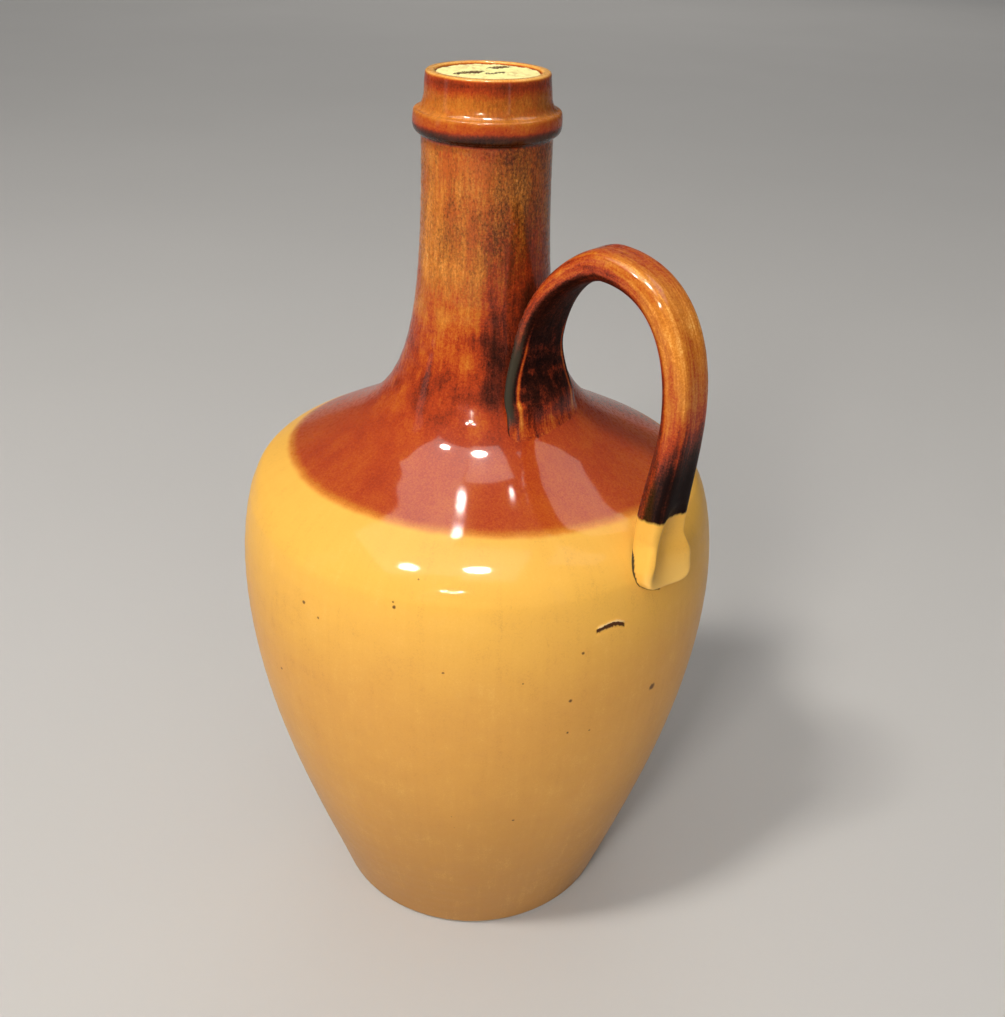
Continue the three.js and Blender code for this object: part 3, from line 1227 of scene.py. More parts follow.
@dataclass(frozen=True)
class CorkFinish:
    """Dry bark cork, paler where it crumbles, dark in its pores, and with painted shade in its cracks."""

    pale: Colour = (0.95, 0.9, 0.4)
    warm: Colour = (0.66, 0.45, 0.16)
    dark: Colour = (0.13, 0.065, 0.022)
    grains: float = 0.9
    cloud: Cloud = Cloud(0.35, detail=3)
    pore: Cloud = Cloud(1.5, detail=3, roughness=0.7)
    pore_from: Span = (0.35, 0.65)
    relief: Cloud = Cloud(1.8, detail=4, roughness=0.7)
    relief_height: float = 0.12
    roughness: float = 0.85
    specular_level: float = 0.2

    def material(self) -> bpy.types.Material:
        """Makes the cork's material.

        Returns:
            The material.
        """
        sheet = Sheet.material("bark_cork")
        place = sheet.place()
        grains = sheet.node("ShaderNodeTexVoronoi", sockets={"Vector": place, "Scale": self.grains})
        tone = sheet.split(Signal(sheet, grains.outputs["Color"]))[0]
        cloud = sheet.noise(place, self.cloud)
        colour = sheet.mix(self.pale, self.warm, (tone * 0.5 + cloud * 0.6).rise(0.15, 0.9) * 0.8)
        pores = sheet.noise(place, self.pore).rise(*self.pore_from)
        colour = sheet.mix(colour, self.dark, pores * 0.6)
        # painted shade in the cracks and along their lifted far sides
        colour = sheet.mix(colour, self.dark, sheet.attribute("crack_shade"))
        relief = sheet.noise(place, self.relief) * self.relief_height
        return sheet.finish(
            {
                "Base Color": colour,
                "Roughness": self.roughness + cloud * 0.1,
                "Specular IOR Level": self.specular_level,
                "Normal": sheet.bump(relief),
            }
        )


class Body(Enum):
    """The rigid bodies of the frame."""

    JUG = "jug"
    STOPPER = "stopper"


class Slot(Enum):
    """The record's material slots."""

    OCHRE = "ochre_glaze"
    BROWN = "brown_glaze"
    CORK = "cork"


@dataclass
class Piece:
    """A part of the jug that is modelled anew and stands for one solid of the frame."""

    wall: ThrownWall

    name: ClassVar[str]
    node: ClassVar[str]
    body: ClassVar[Body]
    slot: ClassVar[Slot]

    def model(self) -> bmesh.types.BMesh:
        """Returns the piece's mesh in millimetres."""
        raise NotImplementedError

    def make(self, material: bpy.types.Material) -> bpy.types.Object:
        """Makes the piece's object, dresses it and joins it to the frame.

        Args:
            material: Finish of the piece.

        Returns:
            The object.
        """
        mesh = self.model()
        mesh.transform(Matrix.Scale(MILLIMETRE, 4))
        for face in mesh.faces:
            face.smooth = True
        data = bpy.data.meshes.new(self.name)
        mesh.to_mesh(data)
        mesh.free()
        data.materials.append(material)
        piece = bpy.data.objects.new(self.name, data)
        bpy.context.scene.collection.objects.link(piece)
        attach(piece, self.body.value)
        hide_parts(self.node)
        log.info("%s: %d faces on %s", self.name, len(data.polygons), self.body.value)
        return piece


def sharpen_level(mesh: bmesh.types.BMesh, height: float) -> None:
    """Marks the edges at a level as sharp, so that a flat face there doesn't shade its neighbours.

    Args:
        mesh: The mesh in millimetres.
        height: The level of the edges.
    """
    for edge in mesh.edges:
        if all(abs(vert.co.z - height) < 0.01 for vert in edge.verts):
            edge.smooth = False


@dataclass(frozen=True)
class KilnFlaw:
    """A sliver on the belly where the clay lifted in the firing: a thin raised lip over a sunken pit,
    whose glaze is painted pale on the lip as a painted highlight and dark in the pit as painted shade.
    """

    azimuth: float = 74.2
    height: float = 122.7
    length: float = 9.2
    arch: float = 0.75
    droop: float = 1.1
    droop_slope: float = 2.5
    droop_start: float = 0.25
    ragged: float = 0.25
    ragged_pitch: float = 1.3
    fray: float = 0.5
    fray_pitch: float = 2.1
    end_fade: Span = (0.38, 0.5)
    lip: float = 0.4
    lip_height: float = 0.55
    lip_width: float = 0.36
    pit: float = 0.7
    pit_height: float = -0.3
    pit_width: float = 0.75
    margin: float = 2.5
    cuts: int = 7

    def local(self, place: Vector, radius: float) -> tuple[float, float]:
        """Places a point relative to the sliver.

        Args:
            place: A point of the wall.
            radius: The point's distance from the axis.

        Returns:
            Its distance along the sliver, as a share of the length, and its height above it.
        """
        turn = math.atan2(place.x, -place.y) - math.radians(self.azimuth)
        share = turn * radius / self.length
        drooped = max(self.droop_slope * share - self.droop_start, 0.0)
        bow = self.arch * (1 - 4 * share * share) - self.droop * drooped**2
        ragged = self.ragged * noise.noise(place * self.ragged_pitch)
        return share, place.z - self.height - bow - ragged

    def strength(self, place: Vector, radius: float) -> float:
        """Works out the sliver's mark at a point.

        Args:
            place: A point of the wall.
            radius: The point's distance from the axis.

        Returns:
            Up to 1 on the lip and down to -1 in the pit.
        """
        share, above = self.local(place, radius)
        ends = 1 - smooth_step(*self.end_fade, abs(share))
        frayed = self.pit_width * (1 + self.fray * noise.noise(place * self.fray_pitch))
        lip = math.exp(-(((above - self.lip_height) / self.lip_width) ** 2))
        pit = math.exp(-(((above - self.pit_height) / frayed) ** 4))
        return (lip - pit) * ends

    def press(self, mesh: bmesh.types.BMesh) -> None:
        """Refines the wall round the sliver and moves it in and out.

        Args:
            mesh: The turned wall in millimetres, with the point layer "flaw".
        """
        layer = mesh.verts.layers.float["flaw"]
        inside = mesh.verts.layers.float["inside"]
        centre = facing(self.azimuth)

        def near(vert: bmesh.types.BMVert) -> bool:
            """Tells whether a point of the outer face lies within the margin round the sliver.

            Args:
                vert: The point.

            Returns:
                True if it does.
            """
            radius = math.hypot(vert.co.x, vert.co.y)
            if vert[inside] > 0.5 or vert.co.dot(centre) < 0:
                return False
            share, above = self.local(vert.co, radius)
            return abs(share) * self.length < self.length / 2 + self.margin and abs(above) < self.margin

        edges = [edge for edge in mesh.edges if all(near(vert) for vert in edge.verts)]
        bmesh.ops.subdivide_edges(mesh, edges=edges, cuts=self.cuts, use_grid_fill=True)
        for vert in mesh.verts:
            if near(vert):
                radius = math.hypot(vert.co.x, vert.co.y)
                mark = self.strength(vert.co, radius)
                vert[layer] = mark
                depth = mark * (self.lip if mark > 0 else self.pit)
                vert.co.x *= 1 + depth / radius
                vert.co.y *= 1 + depth / radius


@dataclass
class LowerBody(Piece):
    """The thrown lower section: flat base, leaning wall, belly and haunch up to the seam."""

    flaw: KilnFlaw = KilnFlaw()
    heel_steps: int = 6
    wall_steps: int = 76
    haunch_steps: int = 34
    shoulder_steps: int = 14
    inner_shoulder_steps: int = 8
    inner_haunch_steps: int = 10
    inner_wall_steps: int = 16
    floor_steps: int = 8

    name = "glazed_body"
    node = "lower_body"
    body = Body.JUG
    slot = Slot.OCHRE

    def model(self) -> bmesh.types.BMesh:
        """Models the hollow lower section.

        Returns:
            The mesh in millimetres.
        """
        wall = self.wall
        lower, haunch, sweep = wall.outside
        in_lower, in_haunch, in_sweep = wall.inside
        heel = lower.share_at(wall.heel_round)
        floor = in_lower.share_at(wall.floor_height + wall.floor_round)
        base_edge = spot(wall.base_radius - wall.heel_round, 0)
        outer = [
            spot(0, 0),
            base_edge,
            *corner(base_edge, spot(wall.base_radius, 0), lower.at(heel), self.heel_steps),
            *lower.points(self.wall_steps, first=heel)[1:],
            *haunch.points(self.haunch_steps)[1:],
            *sweep.points(self.shoulder_steps, last=sweep.share_at(wall.seam_height))[1:],
        ]
        outer[-1].z = wall.seam_height
        floor_edge = in_lower.at(floor)
        floor_corner = spot(in_lower.at(in_lower.share_at(wall.floor_height)).x, wall.floor_height)
        floor_flat = spot(floor_corner.x - wall.floor_round, wall.floor_height)
        in_seam = in_sweep.share_at(wall.seam_height)
        inner = [
            *in_sweep.points(self.inner_shoulder_steps, last=in_seam)[::-1],
            *in_haunch.points(self.inner_haunch_steps)[::-1][1:],
            *in_lower.points(self.inner_wall_steps, first=floor)[::-1][1:],
            *corner(floor_edge, floor_corner, floor_flat, self.floor_steps),
            spot(0, wall.floor_height),
        ]
        inner[0].z = wall.seam_height
        mesh = turned(outer + inner, inner)
        mesh.verts.layers.float.new("flaw")
        wall.throw(mesh)
        self.flaw.press(mesh)
        sharpen_level(mesh, wall.seam_height)
        return mesh


@dataclass
class TopSection(Piece):
    """The thrown upper section: shoulder, neck, collar ring and lip."""

    collar_lift: float = 1.0
    collar_proud: float = 2.0
    collar_under: float = 2.6
    collar_over: float = 2.9
    collar_fullness: float = 0.8
    lip_wall: float = 2.3
    lip_taper: float = 0.6
    lip_fillet: float = 3.0
    rim_round: float = 0.9
    mouth_round: float = 0.8
    fillet_fullness: float = 0.5
    neck_steps: int = 130
    collar_under_steps: int = 14
    collar_over_steps: int = 16
    fillet_steps: int = 12
    lip_steps: int = 10
    rim_steps: int = 6
    bore_steps: int = 50

    name = "glazed_neck"
    node = "top_section"
    body = Body.JUG
    slot = Slot.BROWN

    def model(self) -> bmesh.types.BMesh:
        """Models the hollow upper section.

        Returns:
            The mesh in millimetres.
        """
        wall = self.wall
        sweep = wall.outside[2]
        bore = wall.inside[2]
        collar_radius = wall.neck_radius + self.collar_proud
        neck_top = spot(wall.neck_radius, wall.collar_height + self.collar_lift)
        crest = spot(collar_radius, neck_top.z + self.collar_under)
        lip_radius = wall.bore_radius + self.lip_wall
        foot_height = crest.z + self.collar_over
        collar_foot = spot(collar_radius, neck_top.z)
        collar_brow = spot(collar_radius, foot_height)
        lip_foot = spot(lip_radius + self.lip_taper, foot_height)
        collar_top = spot(lip_foot.x + self.lip_fillet / 2, foot_height)
        lip_base = spot(lip_foot.x - self.lip_taper / 3, foot_height + self.lip_fillet)
        lip_top = spot(lip_radius, wall.rim_height - self.rim_round)
        rim_outer = spot(lip_radius - self.rim_round, wall.rim_height)
        rim_inner = spot(wall.bore_radius + self.mouth_round, wall.rim_height)
        mouth = spot(wall.bore_radius, wall.rim_height - self.mouth_round)
        outer = [
            *sweep.points(self.neck_steps, first=sweep.share_at(wall.seam_height)),
            neck_top,
            *corner(neck_top, collar_foot, crest, self.collar_under_steps),
            *corner(crest, collar_brow, collar_top, self.collar_over_steps, self.collar_fullness),
            *corner(collar_top, lip_foot, lip_base, self.fillet_steps, self.fillet_fullness),
            *spread(lip_base, lip_top, self.lip_steps)[1:],
            *corner(lip_top, spot(lip_radius, wall.rim_height), rim_outer, self.rim_steps),
            rim_inner,
            *corner(rim_inner, spot(wall.bore_radius, wall.rim_height), mouth, self.rim_steps),
        ]
        outer[0].z = wall.seam_height
        inner = bore.points(self.bore_steps, first=bore.share_at(wall.seam_height))[::-1]
        inner[-1].z = wall.seam_height
        mesh = turned([*outer, *inner, outer[0]], inner)
        wall.throw(mesh)
        sharpen_level(mesh, wall.seam_height)
        return mesh


class Edge(NamedTuple):
    """A point of the strap's outline: where it is, and its share of the width and thickness, -1 to 1."""

    across: float
    off: float
    side: float
    crown: float


@dataclass(frozen=True)
class Section:
    """The strap's rounded outline across its run."""

    width: float
    thickness: float
    wrap: float = 0.0
    channel: float = 0.0
    squareness: float = 2.6
    shift: float = 0.0

    def mixed(self, other: "Section", share: float) -> "Section":
        """Mixes the section with another one.

        Args:
            other: The section at the far end.
            share: Share of the way.

        Returns:
            The section part of the way there, eased.
        """
        eased = smooth_step(0, 1, share)
        sizes = {
            size.name: getattr(self, size.name) * (1 - eased) + getattr(other, size.name) * eased
            for size in fields(self)
        }
        return Section(**sizes)

    def edge(self, angle: float) -> Edge:
        """Finds a point of the outline.

        Args:
            angle: The point's angle from the edge on the +Y side, in radians.

        Returns:
            The point.
        """
        power = 2 / self.squareness
        side = math.copysign(abs(math.cos(angle)) ** power, math.cos(angle))
        crown = math.copysign(abs(math.sin(angle)) ** power, math.sin(angle))
        across = self.width / 2 * side + self.shift
        hollow = self.channel * math.cos(math.pi * side / 2) ** 2 if crown > 0 else 0.0
        off = self.thickness / 2 * crown - hollow + self.wrap * side * side
        return Edge(across, off, side, crown)

    def outline(self, sides: int, fine: int = 720) -> list[Edge]:
        """Spreads points evenly round the outline.

        Args:
            sides: Number of stretches.
            fine: Number of angles at which the outline is measured.

        Returns:
            The points, with the first one again as the last.
        """
        edges = [self.edge(2 * math.pi * step / fine) for step in range(fine + 1)]
        steps = [math.dist(first[:2], second[:2]) for first, second in zip(edges, edges[1:])]
        lengths = [0.0, *accumulate(steps)]
        picks = [bisect.bisect_left(lengths, lengths[-1] * side / sides) for side in range(sides)]
        return [edges[min(pick, fine)] for pick in picks] + [edges[-1]]


@dataclass(frozen=True)
class Station:
    """A place on the strap's run, its direction, how firmly the run holds it, and the section there."""

    point: Vector
    heading: Vector
    section: Section
    arrive: float = 0.33
    leave: float = 0.33


@dataclass(frozen=True)
class Ring:
    """One ring of the strap's skin."""

    point: Vector
    heading: Vector
    section: Section
    along: float


@dataclass
class StrapHandle(Piece):
    """The pulled strap: flattened on the neck, arched over, and pressed on the haunch with a thumb."""

    smear_rise: float = 18.0
    smear_sink: float = 4.2
    root_rise: float = 27.5
    peel_rise: float = 41.7
    apex_rise: float = 66.0
    apex_reach: float = 20.5
    grip_rise: float = 35.0
    grip_bow: float = 3.0
    terminal_rise: float = 3.7
    terminal_stand_off: float = 1.6
    tip_drop: float = 11.0
    tip_round: float = 6.5
    tip_reach: float = 5.2
    tip_squareness: float = 4.6
    tip_skew: float = 0.2
    tip_close: float = 0.98
    tip_thinning: float = 0.3
    tip_thin_power: int = 8
    tip_stand_off: float = 0.5
    root_sink: float = 1.0
    peel_sink: float = 0.4
    peel_lean: float = 9.6
    tip_kick: float = 6.0
    root: Section = Section(width=24.0, thickness=3.6, wrap=2.0, squareness=3.0, shift=-1.25)
    peel: Section = Section(width=17.2, thickness=4.9, channel=0.25, squareness=2.6, shift=-0.3)
    grip: Section = Section(width=11.8, thickness=8.1, channel=0.5)
    terminal: Section = Section(width=13.3, thickness=8.1, channel=0.5, squareness=4.0)
    tip: Section = Section(width=18.5, thickness=8.1, squareness=4.0)
    thumb_width: float = 18.0
    thumb_length: float = 19.4
    thumb_depth: float = 4.1
    thumb_shift: float = 0.3
    thumb_rise: float = 3.7
    thumb_run: float = 20.0
    thumb_soft: float = 0.35
    thumb_lip_soft: float = 3.2
    thumb_lip_spread: float = 0.35
    thumb_lip_from: Span = (-7.0, 1.0)
    seat_sink: float = 0.5
    seat_soft: float = 0.6
    smear_soft: float = 3.5
    smear_reach: float = 16.0
    smear_fade: Span = (0.5, 1.3)
    wing_reach: float = 30.0
    wing_fade: Span = (0.7, 1.2)
    wing_from: Span = (3.0, 9.0)
    wing_flank: Span = (-0.72, -0.5)
    wing_edge: Span = (0.8, 0.92)
    arris_edge: Span = (0.78, 1.0)
    thin_edge: Span = (0.9, 1.0)
    thin_edge_from: Span = (2.0, 8.0)
    thin_edge_glow: float = 4.0
    loop_from: Span = (4.0, 12.0)
    loop_to: Span = (96.0, 124.0)
    loop_side: Span = (0.15, 0.6)
    shut_gap: Span = (0.05, 0.22)
    back_side: Span = (0.84, 0.92)
    back_from: Span = (-6.0, -2.0)
    back_gap: Span = (0.6, 1.8)
    span_steps: int = 36
    tip_steps: int = 40
    sides: int = 128

    name = "strap_handle"
    node = "handle"
    body = Body.JUG
    slot = Slot.BROWN

    def stations(self) -> list[Station]:
        """Sets out the strap's run.

        Returns:
            The stations, from the smear on the neck over the arch to the pressed end.
        """
        wall = self.wall

        def upright(degrees: float) -> Vector:
            """Returns the direction that leans from +Z towards +X by an angle."""
            lean = math.radians(degrees)
            return Vector((math.sin(lean), 0, math.cos(lean)))

        def level(rise: float) -> float:
            """Returns the height at a rise above the turn of the haunch."""
            return wall.turn_height + rise

        def on_wall(rise: float, proud: float) -> Vector:
            """Returns the point at a rise that stands proud of the wall."""
            return spot(wall.radius_at(level(rise)) + proud, level(rise))

        half = self.root.thickness / 2
        smear_point = on_wall(self.smear_rise, -self.smear_sink)
        root_point = on_wall(self.root_rise, half - self.root_sink)
        peel_point = on_wall(self.peel_rise, half - self.peel_sink)
        terminal_point = spot(wall.turn_radius + self.terminal_stand_off, level(self.terminal_rise))
        apex_point = spot(peel_point.x + self.apex_reach, level(self.apex_rise))
        grip_point = spot(terminal_point.x + self.grip_bow, level(self.grip_rise))
        tip_point = on_wall(self.tip_round - self.tip_drop, self.tip_stand_off)
        return [
            Station(smear_point, wall.climb_at(level(self.smear_rise)), self.root),
            Station(root_point, wall.climb_at(level(self.root_rise)), self.root),
            Station(peel_point, upright(self.peel_lean), self.peel, leave=0.54),
            Station(apex_point, upright(90), self.grip, arrive=0.15, leave=0.43),
            Station(grip_point, upright(180), self.grip, arrive=0.46, leave=0.3),
            Station(terminal_point, upright(180), self.terminal, arrive=0.3),
            Station(tip_point, upright(180 - self.tip_kick), self.tip),
        ]

    def rings(self) -> list[Ring]:
        """Sets out the rings of the strap's skin.

        Returns:
            The rings with their distance along the strap.
        """
        stations = self.stations()
        first = stations[0]
        rings = [Ring(first.point, first.heading, first.section, 0.0)]

        def add(point: Vector, heading: Vector, section: Section) -> None:
            """Adds a ring at its distance along the strap."""
            along = rings[-1].along + (point - rings[-1].point).length
            rings.append(Ring(point, heading, section, along))

        for start, end in zip(stations, stations[1:]):
            span = (end.point - start.point).length
            run = Curve(
                start.point,
                start.point + start.heading * (start.leave * span),
                end.point - end.heading * (end.arrive * span),
                end.point,
            )
            for step in range(1, self.span_steps + 1):
                share = step / self.span_steps
                add(run.at(share), run.heading(share), start.section.mixed(end.section, share))
        last = stations[-1]
        for step in range(1, self.tip_steps + 1):
            sweep = math.sin(step / self.tip_steps * math.pi / 2)
            narrowed = (1 - self.tip_close * sweep**self.tip_squareness) ** (1 / self.tip_squareness)
            thinned = 1 - self.tip_thinning * sweep**self.tip_thin_power
            section = replace(
                last.section,
                width=last.section.width * narrowed,
                thickness=last.section.thickness * thinned,
            )
            add(last.point + last.heading * (self.tip_reach * sweep), last.heading, section)
        return rings

    def model(self) -> bmesh.types.BMesh:
        """Models the strap, rolled up from a sheet and pressed on the wall.

        Returns:
            The mesh in millimetres.
        """
        rings = self.rings()
        outlines = [ring.section.outline(self.sides) for ring in rings]
        mesh = bmesh.new()
        strap = mesh.verts.layers.float_vector.new("strap")
        edge_highlight = mesh.verts.layers.float.new("edge_highlight")
        loop = mesh.verts.layers.float.new("loop")
        crevice = mesh.verts.layers.float.new("crevice")
        bmesh.ops.create_grid(mesh, x_segments=self.sides, y_segments=len(rings) - 1, size=1)
        thumb = self.thumb_centre()
        for vert in mesh.verts:
            row = round((vert.co.y + 1) / 2 * (len(rings) - 1))
            ring = rings[row]
            edge = outlines[row][round((vert.co.x + 1) / 2 * self.sides)]
            outward = Vector((-ring.heading.z, 0, ring.heading.x))
            place = ring.point + outward * edge.off + Vector((0, edge.across, 0))
            vert[strap] = (ring.along, edge.across, edge.crown)
            # painted highlight along the strap's outer edges and its thin edge on the neck
            vert[edge_highlight] = self.arris(ring, edge)
            vert[loop] = self.shaded_side(ring, edge)
            # crevice: painted shade on the flank at the root, and painted shade with dirt round the
            # pressed end
            vert[crevice] = max(self.painted_flank_shade(ring, edge), self.strap_crevice_shade_and_dirt(place, edge))
            place.z -= self.tip_skew * edge.across * smooth_step(0, 1, (thumb.z - place.z) / self.tip_drop)
            vert.co = self.seat(self.press_thumb(place, thumb), ring.along)
        bmesh.ops.remove_doubles(mesh, verts=mesh.verts, dist=WELD)
        ends = [edge for edge in mesh.edges if edge.is_boundary]
        bmesh.ops.holes_fill(mesh, edges=ends)
        bmesh.ops.recalc_face_normals(mesh, faces=mesh.faces)
        return mesh

    def arris(self, ring: Ring, edge: Edge) -> float:
        """Finds the strap's outer edges, and its thin edge on the neck, where a highlight is painted.

        Args:
            ring: The point's ring.
            edge: The point's place on the outline.

        Returns:
            How strongly the point lies on an edge.
        """
        peak = 0.5 ** (1 / ring.section.squareness)
        outer = smooth_step(*self.arris_edge, min(abs(edge.side), edge.crown) / peak)
        thin = smooth_step(*self.thin_edge, min(abs(edge.side), -edge.crown) / peak)
        thin *= smooth_step(*self.thin_edge_from, ring.along)
        return outer + (self.thin_edge_glow * thin - outer) * self.rootness(ring)

    def rootness(self, ring: Ring) -> float:
        """Returns 1 on the root of the strap and 0 where it has left the neck."""
        return 1 - smooth_step(*self.wing_fade, ring.along / self.wing_reach)

    def shaded_side(self, ring: Ring, edge: Edge) -> float:
        """Returns 1 on the side towards the finger loop, which is darkened as painted shade and where the
        glaze lies thick and dull.
        """
        reach = smooth_step(*self.loop_from, ring.along) * (1 - smooth_step(*self.loop_to, ring.along))
        return smooth_step(*self.loop_side, -edge.crown) * reach

    def painted_flank_shade(self, ring: Ring, edge: Edge) -> float:
        """Returns where painted shade and a painted grey reflection darken the flank behind the strap's
        thin edges on the neck.
        """
        flank = smooth_step(*self.wing_flank, edge.crown) * smooth_step(*self.wing_edge, abs(edge.side))
        return flank * self.rootness(ring) * smooth_step(*self.wing_from, ring.along)

    def strap_crevice_shade_and_dirt(self, place: Vector, edge: Edge) -> float:
        """Paints shade, with some dirt, in the crevice round the pressed end.

        Args:
            place: A point of the strap before it is pressed on the wall.
            edge: The point's place on the outline.

        Returns:
            How much painted shade and dirt sits there, from 0 to 1.
        """
        drop = place.z - self.wall.turn_height
        if drop > 2 * self.terminal_rise:
            return 0.0
        stand_off = math.hypot(place.x, place.y) - self.wall.radius_at(place.z)
        shut = 1 - smooth_step(*self.shut_gap, stand_off)
        back = smooth_step(*self.back_side, -edge.crown) * smooth_step(*self.back_from, drop)
        back *= 1 - smooth_step(*self.back_gap, stand_off)
        return max(shut, back)

    def thumb_centre(self) -> Vector:
        """Places the thumb's ball at the pressed end.

        Returns:
            The ball's centre.
        """
        tip = self.stations()[-1].point
        face = tip.x + self.tip.thickness / 2
        middle = face + self.thumb_width / 2 - self.thumb_depth
        return Vector((middle, self.thumb_shift, tip.z + self.thumb_rise))

    def press_thumb(self, place: Vector, centre: Vector) -> Vector:
        """Pushes a point of the strap in by the thumb's ball.

        Args:
            place: The point.
            centre: The centre of the ball.

        Returns:
            The point, moved.
        """
        reach = place - centre
        run = self.thumb_run if reach.z > 0 else self.thumb_length / 2
        low = 1 - smooth_step(*self.thumb_lip_from, reach.z)
        width = self.thumb_width * (1 + self.thumb_lip_spread * low)
        flat = 1 - (2 * reach.y / width) ** 2 - (reach.z / run) ** 2
        ball = centre.x - self.thumb_width / 2 * math.sqrt(max(flat, 0.0))
        soft = self.thumb_soft + (self.thumb_lip_soft - self.thumb_soft) * low
        place.x = -soft_max(-place.x, -ball, soft)
        return place

    def seat(self, place: Vector, along: float) -> Vector:
        """Keeps a point of the strap from sinking into the wall, with a soft smear at the root.

        Args:
            place: The point.
            along: The point's distance along the strap.

        Returns:
            The point, moved.
        """
        radius = math.hypot(place.x, place.y)
        outside = self.wall.radius_at(place.z) + self.wall.throwing_marks(place)
        smear = 1 - smooth_step(*self.smear_fade, along / self.smear_reach)
        soft = self.seat_soft + (self.smear_soft - self.seat_soft) * smear
        seated = soft_max(radius, outside - self.seat_sink, soft)
        place.x *= seated / radius
        place.y *= seated / radius
        return place


@dataclass(frozen=True)
class Crack:
    """A crack in the cork's top, whose far side has lifted, in millimetres."""

    start: tuple[float, float]
    end: tuple[float, float]
    width: float = 1.0
    depth: float = 0.5
    lift: float = 0.45
    fade: float = 3.0
    wander: float = 0.7
    wander_pitch: float = 0.6
    fray: float = 0.35
    fray_pitch: float = 1.9
    edge: float = 0.12
    dark_edge: Span = (0.05, 0.3)
    dark_from: Span = (0.1, 0.5)

    def shape(self, place: Vector) -> tuple[float, float]:
        """Works out the crack's shape at a place.

        Args:
            place: A point of the cork.

        Returns:
            How far the top rises there, and how much painted shade the crack gets, from 0 to 1.
        """
        start, end = Vector((*self.start, 0)), Vector((*self.end, 0))
        run = end - start
        level = Vector((place.x, place.y, 0))
        share = (level - start).dot(run) / run.length_squared
        if not 0 < share < 1:
            return 0.0, 0.0
        far = Vector((-run.y, run.x, 0)).normalized()
        wander = self.wander * noise.noise(level * self.wander_pitch)
        wander += self.fray * noise.noise(level * self.fray_pitch)
        aside = (level - start - run * share).dot(far) + wander
        taper = math.sqrt(math.sin(math.pi * share))
        beyond = smooth_step(-self.edge, self.edge, aside)
        groove = smooth_step(-self.width * taper - 0.1, -self.width * taper / 2, aside) * (1 - beyond)
        lip = beyond * math.exp(-max(aside, 0.0) / self.fade)
        dark = groove + beyond * (1 - smooth_step(*self.dark_edge, aside))
        rise = (self.lift * lip - self.depth * groove) * taper
        return rise, dark * smooth_step(*self.dark_from, taper)


@dataclass
class Cork(Piece):
    """The bark cork, sunk just below the rim, with a crumbled and cracked top."""

    taper: float = 1.1
    chamfer: float = 0.6
    top_round: float = 0.4
    top_swell: float = 0.12
    crumble: float = 0.3
    crumble_from: float = 1.5
    crumble_full: float = 0.5
    crumb_pitch: float = 0.5
    bit_pitch: float = 1.4
    side_steps: int = 16
    head_steps: int = 20
    round_steps: int = 5
    top_rings: int = 90
    segments: int = 360
    cracks: tuple[Crack, ...] = (
        Crack((-3.4, -8.4), (-1.0, 0.4), width=0.8),
        Crack((0.9, -2.2), (2.6, 3.2), width=0.45, lift=0.2),
        Crack((-4.3, 3.6), (-2.1, 10.4), width=0.55, lift=0.35),
    )

    name = "bottle_cork"
    node = "cork"
    body = Body.STOPPER
    slot = Slot.CORK

    def model(self) -> bmesh.types.BMesh:
        """Models the cork with its broken top.

        Returns:
            The mesh in millimetres.
        """
        low, high = box_mm(self.node)
        radius = high.x
        foot = radius - self.taper
        waist = (low.z + high.z) / 2
        edge = radius + self.top_swell
        shoulder = spot(edge, high.z - self.top_round)
        brow = spot(edge - self.top_round, high.z)
        outline = [
            spot(0, low.z),
            spot(foot - self.chamfer, low.z),
            *spread(spot(foot, low.z + self.chamfer), spot(radius, waist), self.side_steps),
            *spread(spot(radius, waist), shoulder, self.head_steps)[1:],
            *corner(shoulder, spot(edge, high.z), brow, self.round_steps),
            *spread(brow, spot(0, high.z), self.top_rings)[1:],
        ]
        mesh = turned(outline, (), self.segments)
        crack_shade = mesh.verts.layers.float.new("crack_shade")
        for vert in mesh.verts:
            up = smooth_step(high.z - self.crumble_from, high.z - self.crumble_full, vert.co.z)
            shapes = [line.shape(vert.co) for line in self.cracks]
            crumbs = noise.noise(vert.co * self.crumb_pitch)
            bits = noise.noise(vert.co * self.bit_pitch)
            rough = crumbs * 0.6 + bits * 0.4 - 0.2
            vert[crack_shade] = max(dark for _, dark in shapes) * up
            vert.co.z += (self.crumble * rough + sum(rise for rise, _ in shapes)) * up
        return mesh


class Aim(Enum):
    """Where a lamp points."""

    DOWN = "down"
    JUG = "jug"


class Outline(Enum):
    """The outline of a lamp."""

    PANE = "RECTANGLE"
    BULB = "ELLIPSE"


class Use(Enum):
    """What a lamp does: it lights the surfaces, or it only shows as a reflection in the glaze."""

    LIGHT = "light"
    SHEEN = "sheen"


